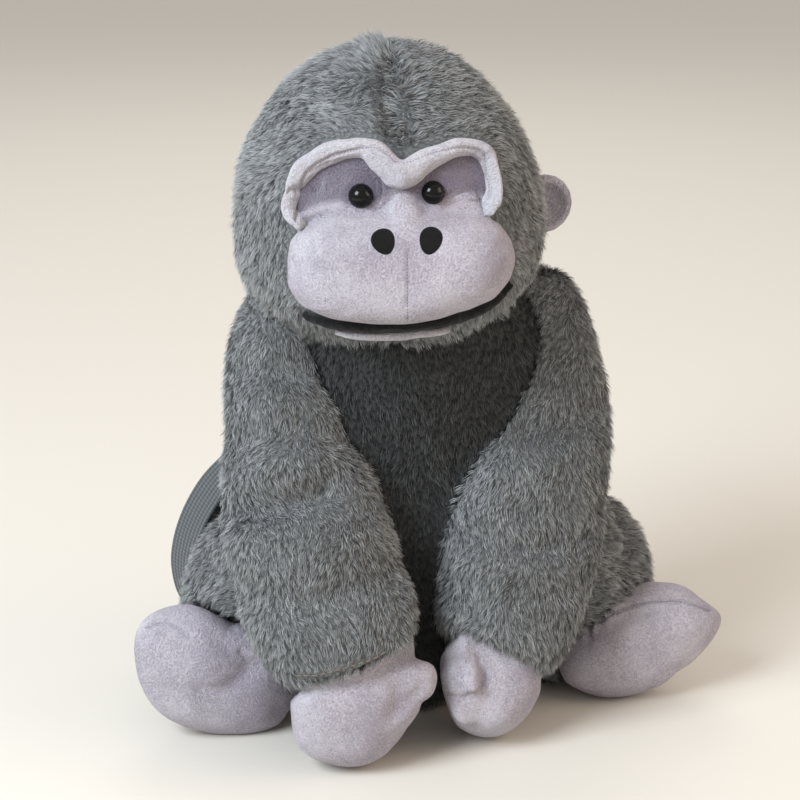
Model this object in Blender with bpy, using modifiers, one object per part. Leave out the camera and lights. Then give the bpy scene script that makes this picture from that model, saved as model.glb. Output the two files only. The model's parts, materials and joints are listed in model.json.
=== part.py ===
"""Plush gorilla backpack, seated.

Metres, +Z up. The animal faces -Y, so +X is its own left side. The origin is the
middle of its seat, on the floor. The body is the bag: a soft hollow shell with a
zip down its back and two webbing straps. Head, limbs and face are stuffed pieces
sewn to it.
"""
from collections import namedtuple
from math import cos, pi, radians, sin

import bmesh
import bpy
from mathutils import Matrix, Vector

# Clearances
GAP = 0.0003
SEAT_GAP = 0.0004
PANEL_CLEARANCE = 0.0007
WELD = 0.00002

# Body, which is the bag
BODY_WIDTH = 0.160
BODY_DEPTH = 0.128
BODY_HEIGHT = 0.272
BODY_BACK_SHIFT = 0.008
BODY_WALL = 0.008
BODY_POWER = 2.2

# Head
HEAD_WIDTH = 0.178
HEAD_DEPTH = 0.166
HEAD_HEIGHT = 0.170
HEAD_BOTTOM = 0.235
HEAD_SIDE_SHIFT = -0.017
HEAD_FRONT_SHIFT = -0.012
HEAD_TURN = radians(-8.0)
HEAD_POWER = 2.2

# Face
EYE_PANEL_THICKNESS = 0.0020
EYE_PANEL_WIDTH = 0.0994
EYE_PANEL_LOW = 0.0770
EYE_RADIUS = 0.0068
EYE_SPACING = 0.0382
EYE_LEVEL = 0.0990
EYE_SINK = 0.0012
BROW_WIDTH = 0.108
BROW_RISE = 0.041
BROW_FOOT = 0.081
BROW_BAND = 0.0092
BROW_HALF_PUFF = 0.0093
BROW_STAND_OFF = 0.0045
MUZZLE_WIDTH = 0.122
MUZZLE_HEIGHT = 0.058
MUZZLE_REACH = 0.119
MUZZLE_LEVEL = 0.0620
MUZZLE_SIDE_SHIFT = 0.003
NOSTRIL_WIDTH = 0.0140
NOSTRIL_HEIGHT = 0.0155
NOSTRIL_SPACING = 0.0250
NOSTRIL_LEVEL = 0.0785
NOSTRIL_RELIEF = 0.0010
NOSTRIL_BACK = 0.095
NOSTRIL_FRONT = 0.131
MOUTH_WIDTH = 0.114
MOUTH_THICKNESS = 0.0100
MOUTH_REACH = MUZZLE_REACH - 0.0175
MOUTH_DEPTH = 0.0510
MOUTH_LEVEL = 0.0325
LIP_WIDTH = 0.066
LIP_THICKNESS = 0.0070
LIP_REACH = MOUTH_REACH - 0.0030
LIP_LEVEL = 0.0268
LIP_DEPTH = 0.040
CRESCENT_END_DEPTH = 0.40

# Ears
EAR_DIAMETER = 0.035
EAR_THICKNESS = 0.010
EAR_LEVEL = 0.0705
EAR_BACK_SHIFT = 0.015
EAR_STICK_OUT = 0.004
EAR_SWING = radians(12.0)
EAR_FOLD_SWING = radians(62.0)

# Arms and hands, one value for the animal's right and one for its left
ARM_WIDTH = {"right": 0.102, "left": 0.100}
ARM_DEPTH = {"right": 0.084, "left": 0.082}
ARM_BOW = {"right": 0.022, "left": 0.030}
SHOULDER = {"right": Vector((-0.064, -0.004, 0.262)), "left": Vector((0.062, -0.002, 0.262))}
WRIST = {"right": Vector((-0.055, -0.090, 0.062)), "left": Vector((0.031, -0.076, 0.050))}
HAND_HEEL_SHIFT = {"right": 0.004, "left": 0.008}
HAND_WIDTH = {"right": 0.070, "left": 0.057}
HAND_DEPTH = {"right": 0.056, "left": 0.050}
THUMB_RADIUS = {"right": 0.0145, "left": 0.0120}
THUMB_LENGTH = {"right": 0.034, "left": 0.036}
THUMB_ROOT = {"right": Vector((0.22, -0.08, 0.00)), "left": Vector((-0.38, -0.16, 0.06))}
THUMB_AIM = {"right": Vector((0.86, -0.12, -0.42)), "left": Vector((0.04, -0.34, -0.94))}

# Legs and feet
LEG_DEPTH = 0.084
LEG_HEIGHT = 0.128
HIP = {"right": Vector((-0.040, 0.005, 0.056)), "left": Vector((0.040, 0.005, 0.056))}
KNEE = {"right": Vector((-0.142, -0.002, 0.070)), "left": Vector((0.151, -0.004, 0.066))}
FOOT_LENGTH = {"right": 0.102, "left": 0.106}
FOOT_WIDTH = {"right": 0.064, "left": 0.060}
FOOT_THICKNESS = 0.054
FOOT_CENTRE = {"right": Vector((-0.122, -0.026, 0.038)), "left": Vector((0.136, -0.029, 0.035))}
FOOT_RAISE = {"right": radians(33.0), "left": radians(27.0)}
FOOT_SWING = {"right": radians(8.0), "left": radians(8.0)}

# Straps
STRAP_WIDTH = 0.025
STRAP_THICKNESS = 0.0018
STRAP_BOW = 0.132
STRAP_BACK = 0.060
STRAP_TOP = 0.228
STRAP_TURN = radians(116.0)
ADJUSTER_WIDTH = 0.031
ADJUSTER_HEIGHT = 0.016
ADJUSTER_THICKNESS = 0.0056
ADJUSTER_ROUNDING = 0.0012

# Zip
ZIP_LOW = 0.042
ZIP_HIGH = 0.206
ZIP_SLOT = 0.012
ZIP_INSET = 0.0030
TAPE_THICKNESS = 0.0014
COIL_WIDTH = 0.0048
COIL_THICKNESS = 0.0018
SLIDER_WIDTH = 0.0090
SLIDER_LENGTH = 0.0110
SLIDER_THICKNESS = 0.0032
SLIDER_DROP = 0.0066
PULL_WIDTH = 0.0062
PULL_LENGTH = 0.0240
PULL_THICKNESS = 0.0014

# How fine the lofts are
BODY_AROUND = 24
HOLLOW_AROUND = 18
HEAD_AROUND = 26
LIMB_AROUND = 16
FACE_AROUND = 20
SMALL_AROUND = 10
ZIP_STEPS = 10
PANEL_COLUMNS = 14
PANEL_ROWS = 3

# Sections run from a circle at power 2 towards a box
LIMB_POWER = 2.2
HAND_POWER = 2.3
ROUND_POWER = 2.0
CRESCENT_POWER = 2.6

# Tables of sections, as shares of the sizes above
Section = namedtuple("Section", "height width depth shift")
BODY_SECTIONS = (
    Section(0.000, 0.76, 0.66, 1.70),
    Section(0.020, 0.87, 0.79, 1.70),
    Section(0.110, 0.98, 0.92, 1.60),
    Section(0.260, 1.00, 0.98, 1.30),
    Section(0.430, 0.98, 0.97, 0.80),
    Section(0.600, 0.96, 0.94, 0.30),
    Section(0.740, 0.97, 0.95, -0.30),
    Section(0.860, 0.95, 0.93, -0.80),
    Section(0.930, 0.82, 0.80, -1.00),
    Section(0.975, 0.58, 0.56, -1.00),
    Section(1.000, 0.26, 0.26, -1.00),
)
HEAD_SECTIONS = (
    Section(0.000, 0.44, 0.46, 0.0),
    Section(0.030, 0.62, 0.62, 0.0),
    Section(0.100, 0.80, 0.79, 0.0),
    Section(0.210, 0.96, 0.94, 0.0),
    Section(0.330, 1.00, 1.00, 0.0),
    Section(0.470, 1.00, 1.00, 0.0),
    Section(0.620, 0.935, 0.94, 0.0),
    Section(0.760, 0.80, 0.82, 0.0),
    Section(0.880, 0.60, 0.62, 0.0),
    Section(0.960, 0.36, 0.38, 0.0),
    Section(1.000, 0.12, 0.12, 0.0),
)

# A limb's rows: how far along it, how far it bows out, and its width and depth there
LimbRow = namedtuple("LimbRow", "along bow width depth")
ARM_ROWS = {
    "right": (
        LimbRow(-0.040, 0.00, 0.14, 0.16),
        LimbRow(0.000, 0.05, 0.36, 0.42),
        LimbRow(0.060, 0.39, 0.53, 0.62),
        LimbRow(0.180, 1.00, 0.60, 0.72),
        LimbRow(0.320, 0.98, 0.69, 0.80),
        LimbRow(0.450, 0.93, 0.80, 0.88),
        LimbRow(0.580, 0.76, 0.95, 0.96),
        LimbRow(0.700, 0.64, 1.00, 1.00),
        LimbRow(0.820, 0.49, 1.00, 0.98),
        LimbRow(0.930, 0.34, 0.95, 0.90),
        LimbRow(1.000, 0.05, 0.80, 0.76),
    ),
    "left": (
        LimbRow(-0.040, 0.00, 0.16, 0.16),
        LimbRow(0.000, 0.05, 0.40, 0.44),
        LimbRow(0.060, 0.30, 0.56, 0.64),
        LimbRow(0.180, 0.74, 0.60, 0.74),
        LimbRow(0.350, 0.86, 0.77, 0.84),
        LimbRow(0.480, 0.68, 0.91, 0.94),
        LimbRow(0.600, 0.52, 0.99, 1.00),
        LimbRow(0.730, 0.39, 0.97, 0.98),
        LimbRow(0.850, 0.26, 0.90, 0.92),
        LimbRow(0.940, 0.10, 0.81, 0.82),
        LimbRow(1.000, 0.00, 0.70, 0.70),
    ),
}
HAND_ROWS = (
    LimbRow(0.000, 0.0, 0.88, 0.86),
    LimbRow(0.180, 0.0, 0.99, 0.98),
    LimbRow(0.400, 0.0, 1.00, 1.00),
    LimbRow(0.600, 0.0, 0.95, 0.96),
    LimbRow(0.780, 0.0, 0.80, 0.84),
    LimbRow(0.910, 0.0, 0.58, 0.62),
    LimbRow(1.000, 0.0, 0.28, 0.32),
)
THUMB_ROWS = (
    LimbRow(0.000, 0.0, 0.90, 0.90),
    LimbRow(0.300, 0.0, 1.00, 1.00),
    LimbRow(0.580, 0.0, 0.90, 0.90),
    LimbRow(0.800, 0.0, 0.70, 0.70),
    LimbRow(0.940, 0.0, 0.42, 0.42),
    LimbRow(1.000, 0.0, 0.14, 0.14),
)
LEG_ROWS = (
    LimbRow(0.000, 0.0, 0.76, 0.80),
    LimbRow(0.250, 0.0, 0.95, 0.94),
    LimbRow(0.500, 0.0, 1.00, 1.00),
    LimbRow(0.700, 0.0, 0.96, 0.98),
    LimbRow(0.860, 0.0, 0.78, 0.80),
    LimbRow(0.960, 0.0, 0.50, 0.52),
    LimbRow(1.000, 0.0, 0.20, 0.22),
)
FOOT_ROWS = (
    LimbRow(0.000, 0.0, 0.16, 0.20),
    LimbRow(0.035, 0.0, 0.48, 0.52),
    LimbRow(0.140, 0.0, 0.80, 0.82),
    LimbRow(0.320, 0.0, 0.98, 1.00),
    LimbRow(0.520, 0.0, 1.00, 0.98),
    LimbRow(0.720, 0.0, 0.94, 0.84),
    LimbRow(0.880, 0.0, 0.74, 0.60),
    LimbRow(0.965, 0.0, 0.46, 0.36),
    LimbRow(1.000, 0.0, 0.16, 0.12),
)

# The ear's turned form from its back to the bottom of its cup: radius and height
EAR_PROFILE = (
    (0.30, -0.50), (0.43, -0.30), (0.50, 0.05), (0.47, 0.38), (0.38, 0.50), (0.29, 0.20), (0.14, 0.06),
)
# The folded ear's place: how far in from where it would stand out, and how far back
EAR_FOLD_IN = 0.86
EAR_FOLD_BACK = 0.85

# The brow's band: across the face, up from its feet, and its half width and puff
BrowRow = namedtuple("BrowRow", "across rise band puff")
BROW_ROWS = (
    BrowRow(-0.500, 0.00, 0.30, 0.45),
    BrowRow(-0.515, 0.22, 0.44, 0.80),
    BrowRow(-0.500, 0.43, 0.40, 0.85),
    BrowRow(-0.485, 0.64, 0.50, 0.95),
    BrowRow(-0.430, 0.82, 0.56, 1.00),
    BrowRow(-0.347, 0.94, 0.56, 1.00),
    BrowRow(-0.245, 1.00, 0.52, 1.00),
    BrowRow(-0.150, 0.99, 0.56, 1.00),
    BrowRow(-0.070, 0.88, 0.80, 1.00),
    BrowRow(0.005, 0.74, 0.98, 1.00),
    BrowRow(0.080, 0.82, 0.82, 1.00),
    BrowRow(0.160, 0.93, 0.60, 1.00),
    BrowRow(0.265, 1.00, 0.50, 1.00),
    BrowRow(0.365, 0.99, 0.46, 0.95),
    BrowRow(0.455, 0.89, 0.46, 0.90),
    BrowRow(0.482, 0.68, 0.40, 0.85),
    BrowRow(0.490, 0.48, 0.38, 0.80),
    BrowRow(0.480, 0.28, 0.36, 0.70),
    BrowRow(0.466, 0.12, 0.28, 0.45),
)

# The muzzle's rows: forward from the head's axis, and its outline there
MuzzleRow = namedtuple("MuzzleRow", "forward width height lift")
MUZZLE_ROWS = (
    MuzzleRow(0.38, 0.88, 0.80, 0.02),
    MuzzleRow(0.54, 0.99, 0.97, 0.01),
    MuzzleRow(0.66, 1.00, 1.00, 0.00),
    MuzzleRow(0.77, 0.97, 0.97, -0.01),
    MuzzleRow(0.87, 0.88, 0.86, -0.03),
    MuzzleRow(0.94, 0.74, 0.68, -0.05),
    MuzzleRow(0.98, 0.52, 0.44, -0.06),
    MuzzleRow(1.00, 0.20, 0.16, -0.06),
)
MUZZLE_POWER = 2.5

# Mouth and lip: across, how far they reach forward, how high they curl, how thick they are
MouthRow = namedtuple("MouthRow", "across reach curl thick")
MOUTH_ROWS = (
    MouthRow(-0.500, 0.70, 1.00, 0.25),
    MouthRow(-0.440, 0.78, 0.78, 0.60),
    MouthRow(-0.320, 0.91, 0.36, 0.90),
    MouthRow(-0.160, 0.98, 0.08, 1.00),
    MouthRow(0.000, 1.00, 0.00, 1.00),
    MouthRow(0.160, 0.98, 0.08, 1.00),
    MouthRow(0.320, 0.91, 0.36, 0.90),
    MouthRow(0.440, 0.78, 0.78, 0.60),
    MouthRow(0.500, 0.70, 1.00, 0.25),
)
MOUTH_CURL = 0.011
LIP_CURL = 0.004

# A strap's rows: how far out as a share of its bow, how far back and how high as shares of its
# own, and its turn
StrapRow = namedtuple("StrapRow", "out back height turned")
SLIDE_ROW = StrapRow(0.730, 1.000, 0.620, 0.80)
STRAP_UPPER_ROWS = (
    StrapRow(0.200, 0.867, 1.000, 0.00),
    StrapRow(0.290, 1.050, 0.985, 0.00),
    StrapRow(0.400, 1.250, 0.935, 0.00),
    StrapRow(0.530, 1.250, 0.860, 0.08),
    StrapRow(0.630, 1.167, 0.780, 0.25),
    StrapRow(0.690, 1.067, 0.710, 0.48),
    SLIDE_ROW,
)
STRAP_LOWER_ROWS = (
    SLIDE_ROW,
    StrapRow(0.785, 1.000, 0.575, 0.94),
    StrapRow(0.860, 1.000, 0.522, 1.00),
    StrapRow(0.935, 1.000, 0.450, 1.00),
    StrapRow(0.985, 1.000, 0.370, 1.00),
    StrapRow(1.000, 1.000, 0.290, 1.00),
    StrapRow(0.965, 1.000, 0.205, 1.00),
    StrapRow(0.870, 1.017, 0.130, 0.90),
    StrapRow(0.730, 1.033, 0.092, 0.62),
    StrapRow(0.580, 1.017, 0.084, 0.30),
    StrapRow(0.440, 0.917, 0.088, 0.10),
    StrapRow(0.340, 0.767, 0.092, 0.00),
)
STRAP_TAIL_ROWS = (
    StrapRow(0.700, 0.983, 0.610, 0.80),
    StrapRow(0.735, 0.983, 0.570, 0.94),
    StrapRow(0.815, 0.983, 0.500, 1.00),
    StrapRow(0.865, 0.983, 0.450, 1.00),
    StrapRow(0.885, 0.983, 0.400, 1.00),
    StrapRow(0.880, 0.983, 0.310, 1.00),
    StrapRow(0.850, 0.983, 0.230, 1.00),
)

SIDES = {"right": -1.0, "left": 1.0}
HEAD_FRAME = Matrix.Translation((HEAD_SIDE_SHIFT, HEAD_FRONT_SHIFT, HEAD_BOTTOM)) @ Matrix.Rotation(
    HEAD_TURN, 4, "Z"
)

# Colour, roughness
FINISHES = {
    "fur": ((0.105, 0.110, 0.112, 1.0), 0.95),
    "velour": ((0.610, 0.545, 0.640, 1.0), 0.85),
    "velour_dark": ((0.300, 0.250, 0.330, 1.0), 0.88),
    "black_cloth": ((0.012, 0.012, 0.013, 1.0), 0.80),
    "eye_plastic": ((0.006, 0.006, 0.006, 1.0), 0.06),
    "webbing": ((0.115, 0.125, 0.135, 1.0), 0.75),
    "buckle_plastic": ((0.030, 0.030, 0.033, 1.0), 0.45),
    "zip_tape": ((0.070, 0.075, 0.080, 1.0), 0.80),
    "zip_coil": ((0.045, 0.047, 0.050, 1.0), 0.40),
}


def clear_scene():
    """Remove what the file holds, so that the model starts from nothing."""
    for old in list(bpy.data.objects):
        bpy.data.objects.remove(old, do_unlink=True)


def new_collection(name):
    """A collection of that name under the scene."""
    collection = bpy.data.collections.new(name)
    bpy.context.scene.collection.children.link(collection)
    return collection


def finish(name):
    """The material of that name, made once."""
    if name in bpy.data.materials:
        return bpy.data.materials[name]
    colour, roughness = FINISHES[name]
    material = bpy.data.materials.new(name)
    material.use_nodes = True
    shader = material.node_tree.nodes["Principled BSDF"]
    shader.inputs["Base Color"].default_value = colour
    shader.inputs["Roughness"].default_value = roughness
    shader.inputs["Metallic"].default_value = 0.0
    return material


def smooth_rows(rows, steps):
    """The rows with more between them, on a smooth curve through the given ones."""
    finer = []
    for first in range(len(rows) - 1):
        before = rows[max(first - 1, 0)]
        start, end = rows[first], rows[first + 1]
        after = rows[min(first + 2, len(rows) - 1)]
        for step in range(steps):
            t = step / steps
            finer.append(
                [
                    0.5 * (2 * b + (c - a) * t + (2 * a - 5 * b + 4 * c - d) * t * t
                           + (3 * b - a - 3 * c + d) * t ** 3)
                    for a, b, c, d in zip(before, start, end, after)
                ]
            )
    finer.append(list(rows[-1]))
    return finer


def value_at(rows, key, column):
    """A column's value where the rows' first column equals the key."""
    for low, high in zip(rows, rows[1:]):
        if key <= high[0]:
            share = (key - low[0]) / (high[0] - low[0])
            return low[column] + (high[column] - low[column]) * max(share, 0.0)
    return rows[-1][column]


def ring(centre, across, through, half_width, half_depth, power, count):
    """Points of a rounded section, from a circle at power 2 towards a box above it."""
    points = []
    for k in range(count):
        angle = 2 * pi * k / count
        c, s = cos(angle), sin(angle)
        reach = (abs(c) ** power + abs(s) ** power) ** (-1 / power)
        points.append(centre + across * (half_width * c * reach) + through * (half_depth * s * reach))
    return points


def loft(rings):
    """A closed bmesh through rings of equal count, with flat ends."""
    bm = bmesh.new()
    loops = [[bm.verts.new(point) for point in points] for points in rings]
    for lower, upper in zip(loops, loops[1:]):
        count = len(lower)
        for k in range(count):
            bm.faces.new((lower[k], lower[(k + 1) % count], upper[(k + 1) % count], upper[k]))
    bm.faces.new(list(reversed(loops[0])))
    bm.faces.new(loops[-1])
    bmesh.ops.recalc_face_normals(bm, faces=bm.faces)
    return bm


def make_piece(name, bm, finish_name, collection, frame=None):
    """An object from the bmesh, in world coordinates."""
    if frame is not None:
        bm.transform(frame)
    mesh = bpy.data.meshes.new(name)
    bm.to_mesh(mesh)
    bm.free()
    piece = bpy.data.objects.new(name, mesh)
    collection.objects.link(piece)
    mesh.materials.append(finish(finish_name))
    mesh.shade_smooth()
    return piece


def grown(piece, amount, cutters):
    """A cutter with the piece's surface moved out evenly by the amount."""
    bm = bmesh.new()
    bm.from_mesh(piece.data)
    bm.normal_update()
    moves = [vert.normal * (amount * vert.calc_shell_factor()) for vert in bm.verts]
    for vert, move in zip(bm.verts, moves):
        vert.co += move
    mesh = bpy.data.meshes.new(piece.name + "_grown")
    bm.to_mesh(mesh)
    bm.free()
    cutter = bpy.data.objects.new(mesh.name, mesh)
    cutters.objects.link(cutter)
    hide_guide(cutter)
    return cutter


def hide_guide(guide):
    """Mark an object as a guide that isn't part of the model."""
    guide.hide_render = True
    guide.display_type = "WIRE"


def apply_modifiers(piece):
    """Replace the mesh by what its modifiers make of it, and keep its largest body."""
    depsgraph = bpy.context.evaluated_depsgraph_get()
    mesh = bpy.data.meshes.new_from_object(piece.evaluated_get(depsgraph))
    piece.modifiers.clear()
    old = piece.data
    piece.data = mesh
    bpy.data.meshes.remove(old)
    bm = bmesh.new()
    bm.from_mesh(mesh)
    bmesh.ops.remove_doubles(bm, verts=bm.verts, dist=WELD)
    keep_largest_body(bm)
    bmesh.ops.recalc_face_normals(bm, faces=bm.faces)
    bm.to_mesh(mesh)
    bm.free()
    mesh.shade_smooth()


def keep_largest_body(bm):
    """Delete the small offcuts that a cut leaves beside a piece."""
    bodies = []
    left = set(bm.faces)
    while left:
        body = {left.pop()}
        edge = list(body)
        while edge:
            face = edge.pop()
            for near in {f for e in face.edges for f in e.link_faces}:
                if near in left:
                    left.discard(near)
                    body.add(near)
                    edge.append(near)
        bodies.append(body)
    bodies.sort(key=lambda faces: sum(face.calc_area() for face in faces))
    offcuts = [face for body in bodies[:-1] for face in body]
    bmesh.ops.delete(bm, geom=offcuts, context="FACES")


def boolean(piece, others, operation="DIFFERENCE"):
    """Cut the piece by each of the others, or join or cross it with them."""
    for other in others:
        modifier = piece.modifiers.new(other.name, "BOOLEAN")
        modifier.operation = operation
        modifier.object = other
    apply_modifiers(piece)


def flatten_at_floor(bm):
    """Cut the bmesh off flat at z = 0, where it rests."""
    geometry = list(bm.verts) + list(bm.edges) + list(bm.faces)
    result = bmesh.ops.bisect_plane(
        bm, geom=geometry, plane_co=(0, 0, 0), plane_no=(0, 0, 1), clear_inner=True
    )
    rim = [item for item in result["geom_cut"] if isinstance(item, bmesh.types.BMEdge)]
    bmesh.ops.contextual_create(bm, geom=rim)
    bmesh.ops.recalc_face_normals(bm, faces=bm.faces)


def section_rings(sections, width, depth, height, shift, power, around, inset=0.0, steps=2):
    """Level rings through a table of sections, drawn in by the inset all round."""
    rings = []
    for share, wide, deep, back in smooth_rows(sections, steps):
        level = share * (height - 2 * inset) + inset
        centre = Vector((0, back * shift, level))
        half_width = max(wide * width / 2 - inset, inset)
        half_depth = max(deep * depth / 2 - inset, inset)
        rings.append(ring(centre, Vector((1, 0, 0)), Vector((0, 1, 0)), half_width, half_depth, power, around))
    return rings


def limb_rings(start, end, width, depth, bow, rows, power, around, steps=2, front=Vector((0, -1, 0))):
    """Rings square to a limb's own line, which bows out from start to end."""
    line = smooth_rows(rows, steps)
    centres = [start.lerp(end, row[0]) + bow * row[1] for row in line]
    rings = []
    for k, row in enumerate(line):
        ahead = centres[min(k + 1, len(centres) - 1)] - centres[max(k - 1, 0)]
        ahead.normalize()
        across = front.cross(ahead).normalized()
        through = ahead.cross(across).normalized()
        rings.append(ring(centres[k], across, through, row[2] * width / 2, row[3] * depth / 2, power, around))
    return rings


def ribbon_axes(points, k, turn):
    """The directions along, across and out of a band at one of its points.

    The band faces +Y, turned about its own line.
    """
    ahead = (points[min(k + 1, len(points) - 1)] - points[max(k - 1, 0)]).normalized()
    across = ahead.cross(Vector((0, 1, 0))).normalized()
    across.rotate(Matrix.Rotation(turn, 3, ahead))
    return ahead, across, across.cross(ahead).normalized()


def ribbon(points, turns, width, thickness):
    """A flat band through the points.

    Both of its faces are split along the same diagonals, so a twist keeps the wall even.
    """
    bm = bmesh.new()
    loops = []
    for k, point in enumerate(points):
        _, across, face = ribbon_axes(points, k, turns[k])
        side, lift = across * (width / 2), face * (thickness / 2)
        corners = (point + side + lift, point - side + lift, point - side - lift, point + side - lift)
        loops.append([bm.verts.new(corner) for corner in corners])
    for near, far in zip(loops, loops[1:]):
        for a, b in ((0, 1), (3, 2)):
            bm.faces.new((near[a], near[b], far[b]))
            bm.faces.new((near[a], far[b], far[a]))
        for a, b in ((1, 2), (3, 0)):
            bm.faces.new((near[a], near[b], far[b], far[a]))
    bm.faces.new(loops[0])
    bm.faces.new(loops[-1])
    bmesh.ops.recalc_face_normals(bm, faces=bm.faces)
    return bm


def head_front(across, level, lift=0.0):
    """The place on the head's front at a distance across and a level, in the head's own frame."""
    rows = smooth_rows(HEAD_SECTIONS, 2)
    share = min(max(level / HEAD_HEIGHT, 0.0), 1.0)
    half_width = value_at(rows, share, 1) * HEAD_WIDTH / 2
    half_depth = value_at(rows, share, 2) * HEAD_DEPTH / 2
    reach = max(1 - abs(across / half_width) ** HEAD_POWER, 0.0) ** (1 / HEAD_POWER)
    return Vector((across, -half_depth * reach - lift, level))


def body_back(level, inset=0.0):
    """The place on the middle of the body's back at that level."""
    rows = smooth_rows(BODY_SECTIONS, 2)
    share = level / BODY_HEIGHT
    half_depth = value_at(rows, share, 2) * BODY_DEPTH / 2
    shift = value_at(rows, share, 3) * BODY_BACK_SHIFT
    return Vector((0, shift + half_depth - inset, level))


def body_solid(name, collection, around, steps, inset=0.0):
    """The body's form, whole, or drawn in by a wall."""
    rings = section_rings(
        BODY_SECTIONS, BODY_WIDTH, BODY_DEPTH, BODY_HEIGHT, BODY_BACK_SHIFT, BODY_POWER, around, inset, steps
    )
    return make_piece(name, loft(rings), "fur", collection)


def build_body(parts, cutters):
    """The bag: a closed soft shell with a slot for the zip down its back."""
    body = body_solid("body", parts, BODY_AROUND, 2)
    hollow = body_solid("body_hollow", cutters, HOLLOW_AROUND, 1, BODY_WALL)
    hide_guide(hollow)
    bpy.ops.mesh.primitive_cube_add(size=1.0)
    slot = bpy.context.object
    slot.name = "zip_slot"
    length = ZIP_HIGH - ZIP_LOW
    slot.data.transform(
        Matrix.Translation((0, BODY_DEPTH / 2, ZIP_LOW + length / 2))
        @ Matrix.Diagonal((ZIP_SLOT, BODY_DEPTH, length, 1.0))
    )
    move_to(slot, cutters)
    hide_guide(slot)
    boolean(body, [hollow, slot])
    return body


def move_to(piece, collection):
    """Take the object out of its collections and put it in this one."""
    for old in list(piece.users_collection):
        old.objects.unlink(piece)
    collection.objects.link(piece)


def build_head(parts):
    """The stuffed head, before its seat is cut."""
    rings = section_rings(HEAD_SECTIONS, HEAD_WIDTH, HEAD_DEPTH, HEAD_HEIGHT, 0.0, HEAD_POWER, HEAD_AROUND)
    return make_piece("head", loft(rings), "fur", parts, HEAD_FRAME)


def build_eye_panel(parts):
    """The darker cloth of the eye sockets, laid on the head's front up to the brow."""
    brow = smooth_rows(sorted(BROW_ROWS[4:15]), 1)
    layers = []
    for lift in (PANEL_CLEARANCE, PANEL_CLEARANCE + EYE_PANEL_THICKNESS):
        layer = []
        for i in range(PANEL_COLUMNS + 1):
            across = EYE_PANEL_WIDTH * (i / PANEL_COLUMNS - 0.5)
            high = BROW_FOOT + BROW_RISE * value_at(brow, across / BROW_WIDTH, 1)
            for j in range(PANEL_ROWS + 1):
                level = EYE_PANEL_LOW + (high - EYE_PANEL_LOW) * j / PANEL_ROWS
                layer.append(head_front(across, level, lift))
        layers.append(layer)
    sheet = closed_sheet(layers, PANEL_COLUMNS + 1, PANEL_ROWS + 1)
    return make_piece("eye_panel", sheet, "velour_dark", parts, HEAD_FRAME)


def closed_sheet(layers, columns, rows):
    """A closed bmesh from two grids of points, one behind the other."""
    bm = bmesh.new()
    back, front = [[bm.verts.new(point) for point in layer] for layer in layers]
    for i in range(columns - 1):
        for j in range(rows - 1):
            corners = [i * rows + j, i * rows + j + 1, (i + 1) * rows + j + 1, (i + 1) * rows + j]
            bm.faces.new([back[k] for k in corners])
            bm.faces.new([front[k] for k in reversed(corners)])
    rim = [i * rows for i in range(columns)]
    rim += [(columns - 1) * rows + j for j in range(1, rows)]
    rim += [i * rows + rows - 1 for i in range(columns - 2, -1, -1)]
    rim += [j for j in range(rows - 2, 0, -1)]
    for k, here in enumerate(rim):
        there = rim[(k + 1) % len(rim)]
        bm.faces.new((back[here], back[there], front[there], front[here]))
    bmesh.ops.recalc_face_normals(bm, faces=bm.faces)
    return bm


def build_brow(parts):
    """The padded ridge over both eyes, which dips to a point between them."""
    rings = []
    outward = Vector((0, -1, 0))
    places = [(row.across * BROW_WIDTH, BROW_FOOT + row.rise * BROW_RISE) for row in BROW_ROWS]
    for k, row in enumerate(BROW_ROWS):
        before, after = places[max(k - 1, 0)], places[min(k + 1, len(places) - 1)]
        ahead = Vector((after[0] - before[0], 0, after[1] - before[1])).normalized()
        across = ahead.cross(outward).normalized()
        centre = head_front(places[k][0], places[k][1], BROW_STAND_OFF * row.puff)
        half_puff = BROW_HALF_PUFF * row.puff
        rings.append(ring(centre, across, outward, BROW_BAND * row.band, half_puff, LIMB_POWER, SMALL_AROUND))
    return make_piece("brow", loft(rings), "velour", parts, HEAD_FRAME)


def build_muzzle(parts):
    """The wide padded muzzle on the head's front."""
    rings = []
    for forward, wide, high, lift in smooth_rows(MUZZLE_ROWS, 2):
        centre = Vector((MUZZLE_SIDE_SHIFT, -forward * MUZZLE_REACH, MUZZLE_LEVEL + lift * MUZZLE_HEIGHT))
        rings.append(
            ring(centre, Vector((1, 0, 0)), Vector((0, 0, 1)), wide * MUZZLE_WIDTH / 2,
                 high * MUZZLE_HEIGHT / 2, MUZZLE_POWER, FACE_AROUND)
        )
    return make_piece("muzzle", loft(rings), "velour", parts, HEAD_FRAME)


def build_eye(side, sign, parts):
    """A black domed eye with a flat back, sunk a little in the eye panel."""
    bm = bmesh.new()
    bmesh.ops.create_uvsphere(bm, u_segments=14, v_segments=10, radius=EYE_RADIUS)
    flatten_at_floor(bm)
    lift = PANEL_CLEARANCE + EYE_PANEL_THICKNESS - EYE_SINK
    place = head_front(sign * EYE_SPACING / 2, EYE_LEVEL, lift)
    frame = HEAD_FRAME @ Matrix.Translation(place) @ Matrix.Rotation(pi / 2, 4, "X")
    return make_piece(f"eye_{side}", bm, "eye_plastic", parts, frame)


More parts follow.
